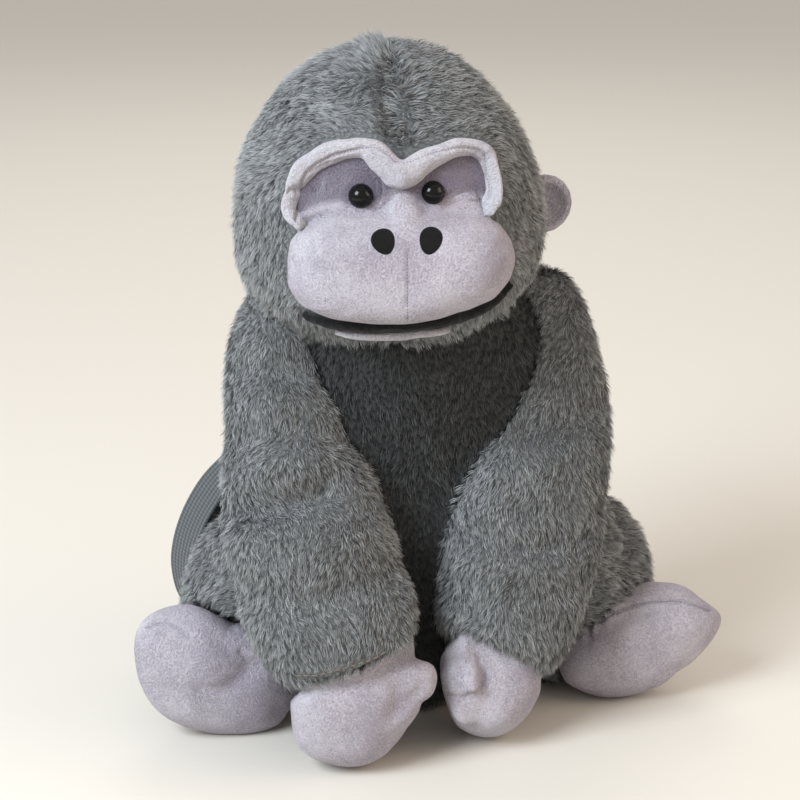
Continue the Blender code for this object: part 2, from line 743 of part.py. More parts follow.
def build_nostril(side, sign, parts, muzzle, cutters):
    """A nostril's raised patch of black stitching, which follows the muzzle."""
    centre = Vector((MUZZLE_SIDE_SHIFT + sign * NOSTRIL_SPACING / 2, 0, NOSTRIL_LEVEL))
    rings = []
    for forward in (NOSTRIL_BACK, NOSTRIL_FRONT):
        middle = centre + Vector((0, -forward, 0))
        rings.append(
            ring(middle, Vector((1, 0, 0)), Vector((0, 0, 1)), NOSTRIL_WIDTH / 2, NOSTRIL_HEIGHT / 2,
                 ROUND_POWER, SMALL_AROUND)
        )
    nostril = make_piece(f"nostril_{side}", loft(rings), "black_cloth", parts, HEAD_FRAME)
    boolean(nostril, [grown(muzzle, SEAT_GAP + NOSTRIL_RELIEF, cutters)], "INTERSECT")
    boolean(nostril, [grown(muzzle, SEAT_GAP, cutters)])
    return nostril


def crescent(name, width, reach, level, curl, thickness, depth, finish_name, parts):
    """A band that runs across under the muzzle and curls up at its ends."""
    rings = []
    for row in MOUTH_ROWS:
        half_depth = depth / 2 * (CRESCENT_END_DEPTH + (1 - CRESCENT_END_DEPTH) * row.thick)
        centre = Vector(
            (MUZZLE_SIDE_SHIFT + row.across * width, half_depth - row.reach * reach, level + row.curl * curl)
        )
        rings.append(
            ring(centre, Vector((0, -1, 0)), Vector((0, 0, 1)), half_depth, row.thick * thickness / 2,
                 CRESCENT_POWER, SMALL_AROUND)
        )
    return make_piece(name, loft(rings), finish_name, parts, HEAD_FRAME)


def build_ear(side, parts):
    """A small cupped ear. The animal's right one is folded back against the head."""
    rings = []
    for radius, height in EAR_PROFILE:
        centre = Vector((0, 0, height * EAR_THICKNESS))
        size = radius * EAR_DIAMETER
        rings.append(ring(centre, Vector((1, 0, 0)), Vector((0, 1, 0)), size, size, ROUND_POWER, LIMB_AROUND))
    out = HEAD_WIDTH / 2 + EAR_STICK_OUT
    if side == "left":
        place = Vector((out, EAR_BACK_SHIFT, EAR_LEVEL))
        swing = EAR_SWING
    else:
        place = Vector((-out * EAR_FOLD_IN, EAR_BACK_SHIFT + EAR_DIAMETER * EAR_FOLD_BACK, EAR_LEVEL))
        swing = -EAR_FOLD_SWING
    frame = Matrix.Translation(place) @ Matrix.Rotation(swing, 4, "Z") @ Matrix.Rotation(pi / 2, 4, "X")
    return make_piece(f"ear_{side}", loft(rings), "velour", parts, HEAD_FRAME @ frame)


def build_arm(side, sign, parts):
    """An arm from the shoulder forward and down to the wrist."""
    rings = limb_rings(
        SHOULDER[side], WRIST[side], ARM_WIDTH[side], ARM_DEPTH[side],
        Vector((sign * ARM_BOW[side], 0, 0)), ARM_ROWS[side], LIMB_POWER, LIMB_AROUND,
    )
    return make_piece(f"arm_{side}", loft(rings), "fur", parts)


def build_hand(side, parts, cutters):
    """A mitten hand with a short thumb, which rests on the floor."""
    straight = Vector((0, 0, 0))
    down = (WRIST[side] - SHOULDER[side]).normalized()
    top = WRIST[side] + down * SEAT_GAP
    end = Vector((top.x, top.y + HAND_HEEL_SHIFT[side], 0.0))
    rings = limb_rings(
        top, end, HAND_WIDTH[side], HAND_DEPTH[side], straight, HAND_ROWS, HAND_POWER, LIMB_AROUND, 1,
    )
    hand = make_piece(f"hand_{side}", loft(rings), "velour", parts)
    root = top + THUMB_ROOT[side] * HAND_WIDTH[side]
    tip = root + THUMB_AIM[side].normalized() * THUMB_LENGTH[side]
    across = 2 * THUMB_RADIUS[side]
    rings = limb_rings(root, tip, across, across, straight, THUMB_ROWS, ROUND_POWER, LIMB_AROUND, 1)
    thumb = make_piece(f"thumb_{side}", loft(rings), "velour", cutters)
    hide_guide(thumb)
    boolean(hand, [thumb], "UNION")
    floor_flat(hand)
    return hand


def floor_flat(piece):
    """Flatten the piece where it meets the floor."""
    bm = bmesh.new()
    bm.from_mesh(piece.data)
    flatten_at_floor(bm)
    bm.to_mesh(piece.data)
    bm.free()
    piece.data.shade_smooth()


def build_leg(side, parts):
    """A short thick leg from the hip out to the foot."""
    rings = limb_rings(
        HIP[side], KNEE[side], LEG_DEPTH, LEG_HEIGHT, Vector((0, 0, 0)), LEG_ROWS, LIMB_POWER, LIMB_AROUND,
        steps=1, front=Vector((0, 0, 1)),
    )
    leg = make_piece(f"leg_{side}", loft(rings), "fur", parts)
    floor_flat(leg)
    return leg


def build_foot(side, sign, parts):
    """A foot with its sole to the front, its heel down and its toe up and out."""
    axis = Vector((sign * cos(FOOT_RAISE[side]), -sin(FOOT_SWING[side]), sin(FOOT_RAISE[side]))).normalized()
    half = axis * (FOOT_LENGTH[side] / 2)
    centre = FOOT_CENTRE[side]
    rings = limb_rings(
        centre - half, centre + half, FOOT_WIDTH[side], FOOT_THICKNESS, Vector((0, 0, 0)), FOOT_ROWS,
        LIMB_POWER, LIMB_AROUND,
    )
    foot = make_piece(f"foot_{side}", loft(rings), "velour", parts)
    floor_flat(foot)
    return foot


def strap_places(rows, sign):
    """Points along a strap's run, and how far it has turned at each."""
    points, turns = [], []
    for out, back, height, turned in smooth_rows(rows, 2):
        points.append(Vector((sign * out * STRAP_BOW, back * STRAP_BACK, height * STRAP_TOP)))
        turns.append(sign * turned * STRAP_TURN)
    return points, turns


def build_strap_run(name, rows, sign, parts):
    """One run of webbing."""
    points, turns = strap_places(rows, sign)
    return make_piece(name, ribbon(points, turns, STRAP_WIDTH, STRAP_THICKNESS), "webbing", parts)


def build_adjuster(side, sign, parts):
    """The plain slide where a strap's runs meet."""
    upper, turns = strap_places(STRAP_UPPER_ROWS, sign)
    lower, _ = strap_places(STRAP_LOWER_ROWS, sign)
    down, across, face = ribbon_axes([upper[-2], upper[-1], lower[1]], 1, turns[-1])
    bpy.ops.mesh.primitive_cube_add(size=1.0)
    adjuster = bpy.context.object
    adjuster.name = f"adjuster_{side}"
    adjuster.data.transform(Matrix.Diagonal((ADJUSTER_WIDTH, ADJUSTER_THICKNESS, ADJUSTER_HEIGHT, 1.0)))
    turn = Matrix((across, face, -down)).transposed().to_4x4()
    adjuster.data.transform(Matrix.Translation(upper[-1]) @ turn)
    move_to(adjuster, parts)
    adjuster.data.materials.append(finish("buckle_plastic"))
    bevel = adjuster.modifiers.new("rounding", "BEVEL")
    bevel.width = ADJUSTER_ROUNDING
    bevel.segments = 2
    apply_modifiers(adjuster)
    return adjuster


def zip_run(name, top, length, inset, width, thickness, steps, finish_name, parts):
    """A straight band down the back's middle, sunk by the inset under its surface."""
    points = [body_back(top - length * k / steps, inset) for k in range(steps + 1)]
    return make_piece(name, ribbon(points, [0.0] * len(points), width, thickness), finish_name, parts)


def build_zip(parts):
    """The closed zip in the back's slot: its tape, its coil, its slider and the pull that hangs from it."""
    top, length = ZIP_HIGH - GAP, ZIP_HIGH - ZIP_LOW - 2 * GAP
    inset = ZIP_INSET
    zip_run("zip_tape", top, length, inset, ZIP_SLOT - 2 * GAP, TAPE_THICKNESS, ZIP_STEPS, "zip_tape", parts)
    inset -= TAPE_THICKNESS / 2 + SEAT_GAP + COIL_THICKNESS / 2
    zip_run("zip_coil", top, length, inset, COIL_WIDTH, COIL_THICKNESS, ZIP_STEPS, "zip_coil", parts)
    inset -= COIL_THICKNESS / 2 + SEAT_GAP + SLIDER_THICKNESS / 2
    top -= SLIDER_DROP
    zip_run("zip_slider", top, SLIDER_LENGTH, inset, SLIDER_WIDTH, SLIDER_THICKNESS, 2, "zip_coil", parts)
    inset -= SLIDER_THICKNESS / 2 + SEAT_GAP + PULL_THICKNESS / 2
    top -= SLIDER_LENGTH / 2
    zip_run("zip_pull", top, PULL_LENGTH, inset, PULL_WIDTH, PULL_THICKNESS, 2, "zip_coil", parts)


def build():
    """All the pieces, each seated on what carries it."""
    clear_scene()
    parts = new_collection("plush_gorilla_backpack")
    cutters = new_collection("cutters")

    body_form = body_solid("body_form", cutters, BODY_AROUND, 2)
    hide_guide(body_form)
    body_seat = grown(body_form, SEAT_GAP, cutters)
    build_body(parts, cutters)

    head = build_head(parts)
    head_seat = grown(head, SEAT_GAP, cutters)
    panel = build_eye_panel(parts)
    panel_seat = grown(panel, SEAT_GAP, cutters)
    muzzle = build_muzzle(parts)
    muzzle_seat = grown(muzzle, SEAT_GAP, cutters)
    brow = build_brow(parts)
    mouth = crescent("mouth", MOUTH_WIDTH, MOUTH_REACH, MOUTH_LEVEL, MOUTH_CURL, MOUTH_THICKNESS,
                     MOUTH_DEPTH, "black_cloth", parts)
    mouth_seat = grown(mouth, SEAT_GAP, cutters)
    lip = crescent("lower_lip", LIP_WIDTH, LIP_REACH, LIP_LEVEL, LIP_CURL, LIP_THICKNESS,
                   LIP_DEPTH, "velour", parts)

    arms, legs, hands, feet, arm_seats, hand_seats = {}, {}, {}, {}, {}, {}
    for side, sign in SIDES.items():
        build_nostril(side, sign, parts, muzzle, cutters)
        eye = build_eye(side, sign, parts)
        boolean(eye, [panel_seat])
        ear = build_ear(side, parts)
        boolean(ear, [head_seat])
        arms[side] = build_arm(side, sign, parts)
        arm_seats[side] = grown(arms[side], SEAT_GAP, cutters)
        hands[side] = build_hand(side, parts, cutters)
        boolean(hands[side], [arm_seats[side]])
        hand_seats[side] = grown(hands[side], SEAT_GAP, cutters)
        legs[side] = build_leg(side, parts)
        feet[side] = build_foot(side, sign, parts)

    boolean(brow, [head_seat, panel_seat, muzzle_seat])
    boolean(muzzle, [head_seat, panel_seat])
    boolean(lip, [head_seat, muzzle_seat, mouth_seat])
    boolean(mouth, [head_seat, muzzle_seat])
    boolean(head, [body_seat])
    for side in SIDES:
        boolean(arms[side], [body_seat, head_seat])
        foot_seat = grown(feet[side], SEAT_GAP, cutters)
        boolean(legs[side], [body_seat, arm_seats[side], hand_seats[side], foot_seat])
        boolean(feet[side], [arm_seats[side], hand_seats[side]])

    for side, sign in SIDES.items():
        upper = build_strap_run(f"strap_upper_{side}", STRAP_UPPER_ROWS, sign, parts)
        lower = build_strap_run(f"strap_lower_{side}", STRAP_LOWER_ROWS, sign, parts)
        tail = build_strap_run(f"strap_tail_{side}", STRAP_TAIL_ROWS, sign, parts)
        adjuster_seat = grown(build_adjuster(side, sign, parts), SEAT_GAP, cutters)
        boolean(upper, [body_seat, head_seat, adjuster_seat])
        boolean(lower, [body_seat, adjuster_seat])
        boolean(tail, [adjuster_seat])
    build_zip(parts)


build()
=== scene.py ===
"""Looks of the seated plush gorilla backpack: its pile, nap, seams, webbing and zip.

Metres, +Z up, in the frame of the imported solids. The animal faces -Y, and +X is its own left.
Each soft solid is dressed in a skin of its own, which is remeshed, creased where the photograph
shows a fold, and then covered in pile or given a short nap. Places on a surface that are read from
the photograph are pixels of its 800 by 800 frame.
"""
import itertools
import json
import logging
import math
from collections.abc import Callable, Sequence
from dataclasses import dataclass, field
from enum import Enum

import bmesh
import bpy
import numpy as np
from bpy.types import Material, Mesh, NodeSocket, Object, ShaderNode
from mathutils import Matrix, Vector, noise
from mathutils.bvhtree import BVHTree

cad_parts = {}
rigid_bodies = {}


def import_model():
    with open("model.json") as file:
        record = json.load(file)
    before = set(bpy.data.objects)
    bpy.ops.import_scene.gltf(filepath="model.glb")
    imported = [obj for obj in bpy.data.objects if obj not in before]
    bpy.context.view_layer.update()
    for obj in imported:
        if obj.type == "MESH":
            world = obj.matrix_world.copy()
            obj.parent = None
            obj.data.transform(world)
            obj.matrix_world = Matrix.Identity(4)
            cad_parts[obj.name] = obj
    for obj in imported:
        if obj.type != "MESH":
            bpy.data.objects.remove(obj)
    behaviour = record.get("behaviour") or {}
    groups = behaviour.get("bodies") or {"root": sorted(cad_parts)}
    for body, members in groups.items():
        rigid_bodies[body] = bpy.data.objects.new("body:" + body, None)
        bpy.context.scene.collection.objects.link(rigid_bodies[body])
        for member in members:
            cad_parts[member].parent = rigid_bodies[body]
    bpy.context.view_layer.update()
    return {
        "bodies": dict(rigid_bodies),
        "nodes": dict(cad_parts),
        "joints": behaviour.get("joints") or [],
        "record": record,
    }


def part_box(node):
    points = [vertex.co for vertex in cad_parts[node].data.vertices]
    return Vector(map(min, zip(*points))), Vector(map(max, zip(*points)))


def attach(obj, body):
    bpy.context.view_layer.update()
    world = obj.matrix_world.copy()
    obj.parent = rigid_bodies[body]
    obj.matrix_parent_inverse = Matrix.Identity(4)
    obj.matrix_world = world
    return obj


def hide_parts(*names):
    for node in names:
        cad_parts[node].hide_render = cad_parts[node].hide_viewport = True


LOG = logging.getLogger("plush_backpack")
Pixel = tuple[float, float]
Colour = tuple[float, float, float]
Points = np.ndarray
MERGE = 1e-5
NOISE_SEED = 5
SIDES = {"right": -1.0, "left": 1.0}
HOLLOW = ("body",)
WAYS_MET = 22
WAVE = 6.283
BEHIND = 0.2
INWARD = Vector((0, -1, 0))


class Slot(Enum):
    """The record's material slots that the pieces here are made of."""

    FUR = "fur"
    VELOUR = "velour"
    BLACK_CLOTH = "black_cloth"
    EYE = "eye_plastic"
    WEBBING = "webbing"
    BUCKLE = "buckle_plastic"
    ZIP_TAPE = "zip_tape"
    ZIP_COIL = "zip_coil"


@dataclass(frozen=True)
class PhotoView:
    """The photograph's camera.

    Args:
        azimuth: Degrees round the animal, from straight ahead.
        elevation: Degrees above level.
        distance: From the target.
        target: The point that shows at the middle pixel.
        middle: The pixel that shows it.
        frame: The picture's width and height in pixels.
        lens: Focal length in millimetres.
        sensor: Sensor width in millimetres.
    """

    azimuth: float = -12.0
    elevation: float = 18.0
    distance: float = 1.3
    target: tuple[float, float, float] = (-0.007, -0.010, 0.190)
    middle: Pixel = (404.0, 403.0)
    frame: float = 800.0
    lens: float = 100.0
    sensor: float = 36.0

    def axes(self) -> tuple[Vector, Vector, Vector]:
        """The camera's right, up and back directions."""
        turn, rise = math.radians(self.azimuth), math.radians(self.elevation)
        back = Vector((math.sin(turn) * math.cos(rise), -math.cos(turn) * math.cos(rise), math.sin(rise)))
        right = Vector((math.cos(turn), math.sin(turn), 0.0))
        return right, back.cross(right), back

    def eye(self) -> Vector:
        """Where the camera stands."""
        return Vector(self.target) + self.axes()[2] * self.distance

    def ray(self, pixel: Pixel) -> Vector:
        """The direction from the eye through a pixel."""
        right, up, back = self.axes()
        scale = self.sensor / self.lens / self.frame
        aside = (pixel[0] - self.middle[0]) * scale
        below = (pixel[1] - self.middle[1]) * scale
        return (right * aside - up * below - back).normalized()

    def find(self, pixel: Pixel, surface: BVHTree) -> tuple[Vector, Vector] | None:
        """The place and normal of a surface where a pixel falls on it."""
        place, normal, _, _ = surface.ray_cast(self.eye(), self.ray(pixel))
        return None if place is None else (place, normal)

    def trace(self, pixels: Sequence[Pixel], surface: BVHTree) -> list[Vector]:
        """Where the pixels fall on a surface, without those that miss it."""
        found = [self.find(pixel, surface) for pixel in pixels]
        return [spot[0] for spot in found if spot is not None]

    def pixels(self, points: Points) -> Points:
        """The pixels that show the points, a row each."""
        right, up, back = (np.array(axis) for axis in self.axes())
        away = points - np.array(self.eye())
        scale = self.pixel_size(1.0) * -(away @ back)
        return np.stack([self.middle[0] + away @ right / scale, self.middle[1] - away @ up / scale], axis=1)

    def pixel_size(self, distance: float) -> float:
        """How wide a pixel is at a distance from the eye."""
        return distance * self.sensor / self.lens / self.frame

    def set_camera(self) -> None:
        """Make the scene's camera."""
        data = bpy.data.cameras.new("photo_camera")
        data.lens = self.lens
        data.sensor_width = self.sensor
        data.shift_x = (self.frame / 2 - self.middle[0]) / self.frame
        data.shift_y = (self.middle[1] - self.frame / 2) / self.frame
        right, up, back = self.axes()
        camera = bpy.data.objects.new("photo_camera", data)
        turn = Matrix((right, up, back)).transposed().to_4x4()
        camera.matrix_world = Matrix.Translation(self.eye()) @ turn
        bpy.context.scene.collection.objects.link(camera)
        bpy.context.scene.camera = camera


class Shading:
    """A material's nodes, added one at a time.

    Args:
        name: The material's name.
    """

    def __init__(self, name: str) -> None:
        self.material = bpy.data.materials.new(name)
        self.material.use_nodes = True
        self.nodes = self.material.node_tree.nodes
        self.links = self.material.node_tree.links
        self.surface = self.nodes["Principled BSDF"]

    def add(self, kind: str, **values: object) -> ShaderNode:
        """Add a node.

        Args:
            kind: The node's type, without its ShaderNode.
            values: Its properties in lower case, and its inputs in capitals, with _ for a space.

        Returns:
            The node.
        """
        node = self.nodes.new("ShaderNode" + kind)
        for name, value in values.items():
            if name[0].islower():
                setattr(node, name, value)
            elif isinstance(value, NodeSocket):
                self.links.new(value, node.inputs[name.replace("_", " ")])
            else:
                node.inputs[name.replace("_", " ")].default_value = value
        return node

    def place(self, scale: tuple[float, float, float] = (1.0, 1.0, 1.0)) -> NodeSocket:
        """Object coordinates, scaled."""
        here = self.add("TexCoord")
        return self.add("Mapping", Vector=here.outputs["Object"], Scale=scale).outputs["Vector"]

    def noise(self, scale: float, detail: float = 2.0, rough: float = 0.5,
              vector: NodeSocket | None = None) -> NodeSocket:
        """A noise from 0 to 1 on the object's own coordinates, or on the vector given."""
        where = self.place() if vector is None else vector
        node = self.add("TexNoise", Vector=where, Scale=scale, Detail=detail, Roughness=rough)
        return node.outputs["Fac"]

    def spread(self, value: NodeSocket, low: float, high: float, to_low: float = 0.0,
               to_high: float = 1.0) -> NodeSocket:
        """A value's range from low to high, spread over another range."""
        node = self.add("MapRange", Value=value, From_Min=low, From_Max=high, To_Min=to_low, To_Max=to_high)
        return node.outputs["Result"]

    def blend(self, share: NodeSocket, first: Colour | NodeSocket, second: Colour | NodeSocket) -> NodeSocket:
        """The first colour where the share is 0, and the second where it is 1."""
        node = self.add("Mix", data_type="RGBA")
        self.links.new(share, node.inputs[0])
        for socket, colour in ((node.inputs[6], first), (node.inputs[7], second)):
            if isinstance(colour, NodeSocket):
                self.links.new(colour, socket)
            else:
                socket.default_value = (*colour, 1.0)
        return node.outputs[2]

    def sum_of(self, first: NodeSocket, second: NodeSocket, share: float) -> NodeSocket:
        """The first value and a share of the second."""
        node = self.add("Math", operation="MULTIPLY_ADD")
        self.links.new(second, node.inputs[0])
        node.inputs[1].default_value = share
        self.links.new(first, node.inputs[2])
        return node.outputs[0]

    def attribute(self, name: str) -> NodeSocket:
        """A value that the mesh carries."""
        return self.add("Attribute", attribute_name=name).outputs["Fac"]

    def colour(self, value: NodeSocket) -> None:
        """Set the surface's colour."""
        self.links.new(value, self.surface.inputs["Base Color"])

    def bump(self, height: NodeSocket, distance: float, strength: float = 1.0) -> None:
        """Give the surface a relief."""
        node = self.add("Bump", Height=height, Distance=distance, Strength=strength)
        self.links.new(node.outputs["Normal"], self.surface.inputs["Normal"])

    def set(self, **values: float | tuple[float, ...]) -> None:
        """Set the surface shader's own sockets."""
        for name, value in values.items():
            self.surface.inputs[name.replace("_", " ")].default_value = value


# The grey pile's root, tip and lightest colours: the dark root is painted shade, the lightest tufts a painted
# highlight.
GREY_PILE = ((0.095, 0.097, 0.098), (0.290, 0.298, 0.300), (0.480, 0.492, 0.496))
# The chest's pile colours, much darker than the grey pile's: painted shade between the arms, on the same grey
# fur.
SHADED_CHEST_PILE = ((0.015, 0.016, 0.017), (0.066, 0.067, 0.068), (0.115, 0.117, 0.118))


@dataclass(frozen=True)
class PileFinish:
    """Plush pile with painted shade that darkens it towards its roots, whose tufts differ a little, some
    lighter as a painted highlight.

    Args:
        name: The material's name.
        root: Colour at the backing, darker than the tips: painted shade at the roots.
        tip: Colour at the tips.
        highlight: Colour of a random share of the tufts, a painted highlight as if they caught most light.
        soft: How far the light follows the skin's curve instead of each blade's own.
        fades: How far back the colours fade into those of the other pile, if they do.
    """

    name: str
    root: Colour
    tip: Colour
    # Painted highlight: the colour of a random share of the tufts, as if they caught most light.
    worn: Colour
    soft: float = 0.64
    fades: float | None = None

    def make(self) -> Material:
        """The material."""
        shading = Shading(self.name)
        along = shading.spread(shading.attribute("tip"), 0.05, 0.85)
        tuft = shading.sum_of(shading.noise(95.0, 3.0), shading.attribute("tuft"), 0.30)
        light = shading.blend(shading.spread(tuft, 0.42, 0.92), self.tip, self.worn)
        # Painted shade: the colour darkens from the tips towards the roots.
        colour = shading.blend(along, self.root, light)
        # Behind the fade line the chest's painted shade gives way to the common grey pile.
        if self.fades is not None:
            colour = shading.blend(self.behind(shading), colour, shading.blend(along, *GREY_PILE[:2]))
        shading.colour(colour)
        self.soften(shading)
        shading.set(Roughness=0.85, Specular_IOR_Level=0.15, Sheen_Weight=0.15, Sheen_Roughness=0.5)
        return shading.material

    def behind(self, shading: Shading) -> NodeSocket:
        """0 in front of the line where this pile fades into the common grey, 1 behind it."""
        parts = shading.add("SeparateXYZ", Vector=shading.place())
        return shading.spread(parts.outputs["Y"], self.fades - 0.02, self.fades + 0.02)

    def soften(self, shading: Shading) -> None:
        """Turn the blades' normals towards the skin that they grow on."""
        skin = shading.add("Attribute", attribute_name="skin").outputs["Vector"]
        blade = shading.add("NewGeometry").outputs["Normal"]
        mixed = shading.add("Mix", data_type="VECTOR")
        mixed.inputs[0].default_value = self.soft
        shading.links.new(blade, mixed.inputs[4])
        shading.links.new(skin, mixed.inputs[5])
        length = shading.add("VectorMath", operation="NORMALIZE")
        shading.links.new(mixed.outputs[1], length.inputs[0])
        shading.links.new(length.outputs[0], shading.surface.inputs["Normal"])


@dataclass(frozen=True)
class BackingFinish:
    """The knitted backing that the pile grows from, with its shorter fibres. Its colours, darker than the
    pile's, are painted shade under the pile.
    """

    name: str
    colour: Colour
    thread: Colour

    def make(self) -> Material:
        """The material."""
        shading = Shading(self.name)
        knit = shading.noise(900.0, 3.0)
        shading.colour(shading.blend(knit, self.colour, self.thread))
        shading.bump(knit, 0.0006)
        shading.set(Roughness=0.95, Specular_IOR_Level=0.1)
        return shading.material


@dataclass(frozen=True)
class VelourFinish:
    """Velour with a short nap, which shows stroked patches and a soft edge, and painted shade where its piece
    marks it.

    Args:
        name: The material's name.
        pale: Colour where the nap lies towards the light.
        deep: Colour where it lies away from it.
        hollow: Deepest colour of the painted shade, where the piece marks the velour as lying in shade.
        shade: Lightest colour of the painted shade.
        grain: How many nap tufts there are to a metre.
    """

    name: str
    pale: Colour
    deep: Colour
    hollow: Colour
    shade: Colour = (0.330, 0.270, 0.360)
    grain: float = 900.0

    def make(self) -> Material:
        """The material."""
        shading = Shading(self.name)
        stroked = shading.noise(30.0, 4.0, 0.55)
        nap = shading.noise(self.grain, 4.0, 0.80)
        curl = shading.add("TexNoise", Vector=shading.place(), Scale=430.0, Detail=3.0, Distortion=2.2)
        mixed = shading.sum_of(stroked, nap, 1.30)
        mixed = shading.sum_of(mixed, curl.outputs["Fac"], 0.80)
        colour = shading.blend(shading.spread(mixed, 1.34, 1.72), self.deep, self.pale)
        # Painted shade: the velour turns to these darker colours where the piece marks it as lying in shade.
        shaded = shading.blend(shading.spread(mixed, 1.30, 1.86), self.hollow, self.shade)
        shading.colour(shading.blend(shading.attribute("hollow"), colour, shaded))
        shading.bump(shading.sum_of(nap, curl.outputs["Fac"], 1.4), 0.0032, 1.0)
        shading.set(Roughness=0.9, Specular_IOR_Level=0.15, Sheen_Weight=0.45, Sheen_Roughness=0.42)
        return shading.material


@dataclass(frozen=True)
class FeltFinish:
    """Black felt with short loose fibres."""

    name: str = "black_felt"
    colour: Colour = (0.010, 0.010, 0.011)
    fibre: Colour = (0.032, 0.032, 0.034)

    def make(self) -> Material:
        """The material."""
        shading = Shading(self.name)
        fibres = shading.noise(1400.0, 4.0, 0.7)
        shading.colour(shading.blend(shading.spread(fibres, 0.45, 0.75), self.colour, self.fibre))
        shading.bump(fibres, 0.0008)
        shading.set(Roughness=0.95, Specular_IOR_Level=0.1, Sheen_Weight=0.15)
        return shading.material


@dataclass(frozen=True)
class StitchFinish:
    """Satin stitch in black thread, whose rows run across the patch."""

    name: str = "black_stitch"
    thread: Colour = (0.026, 0.026, 0.028)
    gap: Colour = (0.002, 0.002, 0.002)

    def make(self) -> Material:
        """The material."""
        shading = Shading(self.name)
        rows = shading.add("TexWave", Vector=shading.place(), Scale=520.0, Distortion=9.0, Detail=3.0,
                           bands_direction="DIAGONAL").outputs["Fac"]
        knots = shading.sum_of(rows, shading.noise(1300.0, 3.0, 0.7), 1.0)
        shading.colour(shading.blend(shading.spread(knots, 0.55, 1.5), self.gap, self.thread))
        shading.bump(knots, 0.0014)
        shading.set(Roughness=0.6, Specular_IOR_Level=0.20)
        return shading.material


@dataclass(frozen=True)
class GlossFinish:
    """Polished or satin moulded plastic."""

    name: str
    colour: Colour
    roughness: float
    coat: float = 0.0
    shine: float = 0.5

    def make(self) -> Material:
        """The material."""
        shading = Shading(self.name)
        grain = shading.noise(600.0, 2.0)
        lighter = tuple(min(channel * 1.25, 1.0) for channel in self.colour)
        shading.colour(shading.blend(grain, self.colour, lighter))
        shading.bump(grain, 0.00004)
        shading.set(Roughness=self.roughness, Specular_IOR_Level=self.shine, Coat_Weight=self.coat,
                    Coat_Roughness=0.04)
        return shading.material


@dataclass(frozen=True)
class WovenFinish:
    """Woven webbing or tape: ribs along it and picks across it, on the piece's own UV map.

    Args:
        name: The material's name.
        raised: Colour of the yarns on top.
        sunk: Colour between them.
        ribs: How many ribs lie side by side across the band.
        picks: How many picks there are to a metre of band.
    """

    name: str
    raised: Colour
    sunk: Colour
    ribs: float
    picks: float

    def make(self) -> Material:
        """The material."""
        shading = Shading(self.name)
        band = shading.add("UVMap").outputs["UV"]
        across = shading.add("TexWave", Vector=band, Scale=self.ribs / WAVE, Distortion=0.4, Detail=1.0,
                             bands_direction="X").outputs["Fac"]
        along = shading.add("TexWave", Vector=band, Scale=self.picks / WAVE, Distortion=0.8, Detail=1.0,
                            bands_direction="Y").outputs["Fac"]
        weave = shading.sum_of(shading.sum_of(across, along, 0.6), shading.noise(900.0, 2.0), 0.35)
        shading.colour(shading.blend(shading.spread(weave, 0.5, 1.5), self.sunk, self.raised))
        shading.bump(weave, 0.0006)
        shading.set(Roughness=0.8, Specular_IOR_Level=0.3, Sheen_Weight=0.1)
        return shading.material


@dataclass(frozen=True)
class FloorFinish:
    """A plain pale floor."""

    name: str = "pale_floor"
    colour: Colour = (0.68, 0.64, 0.58)

    def make(self) -> Material:
        """The material."""
        shading = Shading(self.name)
        shading.set(Base_Color=(*self.colour, 1.0), Roughness=0.7)
        return shading.material


@dataclass(frozen=True)
class Crease:
    """A fold, dent or seam pressed into a skin along a path in the photograph.

    Args:
        path: The pixels it runs through.
        depth: How deep it is. A ridge is negative.
        width: Half its width, as the distance at which most of it is gone.
    """

    path: tuple[Pixel, ...]
    depth: float
    width: float


@dataclass(frozen=True)
class Roll:
    """A stuffed roll of cloth, sewn on along a path in the photograph.

    Args:
        rows: Its middle line's pixels, each with its half width in pixels.
        lift: How high its middle lies over the surface under it.
        depth: Half its thickness.
        beads: How many beads there are from row to row.
        facing: The least that a surface counts as turned to the camera, where the lift is worked out.
    """

    rows: tuple[tuple[float, float, float], ...]
    lift: float
    depth: float
    beads: int = 8
    facing: float = 0.45

    def places(self) -> list[tuple[float, ...]]:
        """The rows with smooth steps between them."""
        found = []
        for first in range(len(self.rows) - 1):
            near = rows_near(self.rows, first)
            found += [curve_at(near, step / self.beads) for step in range(self.beads)]
        return found + [self.rows[-1]]

    def add_to(self, bm: bmesh.types.BMesh, view: PhotoView, surface: BVHTree) -> None:
        """Fill a bmesh with the roll's stuffing, a bead at each step."""
        for x, y, half in self.places():
            spot = view.find((x, y), surface)
            if spot is None:
                continue
            place, normal = spot
            ray = view.ray((x, y))
            middle = place - ray * self.lift / max(-ray.dot(normal), self.facing)
            radius = half * view.pixel_size((middle - view.eye()).length)
            bead = bmesh.ops.create_icosphere(bm, subdivisions=2, radius=1.0)["verts"]
            turn = normal.to_track_quat("Z", "Y").to_matrix().to_4x4()
            size = Matrix.Diagonal((radius, radius, self.depth, 1.0))
            bmesh.ops.transform(bm, matrix=Matrix.Translation(middle) @ turn @ size, verts=bead)


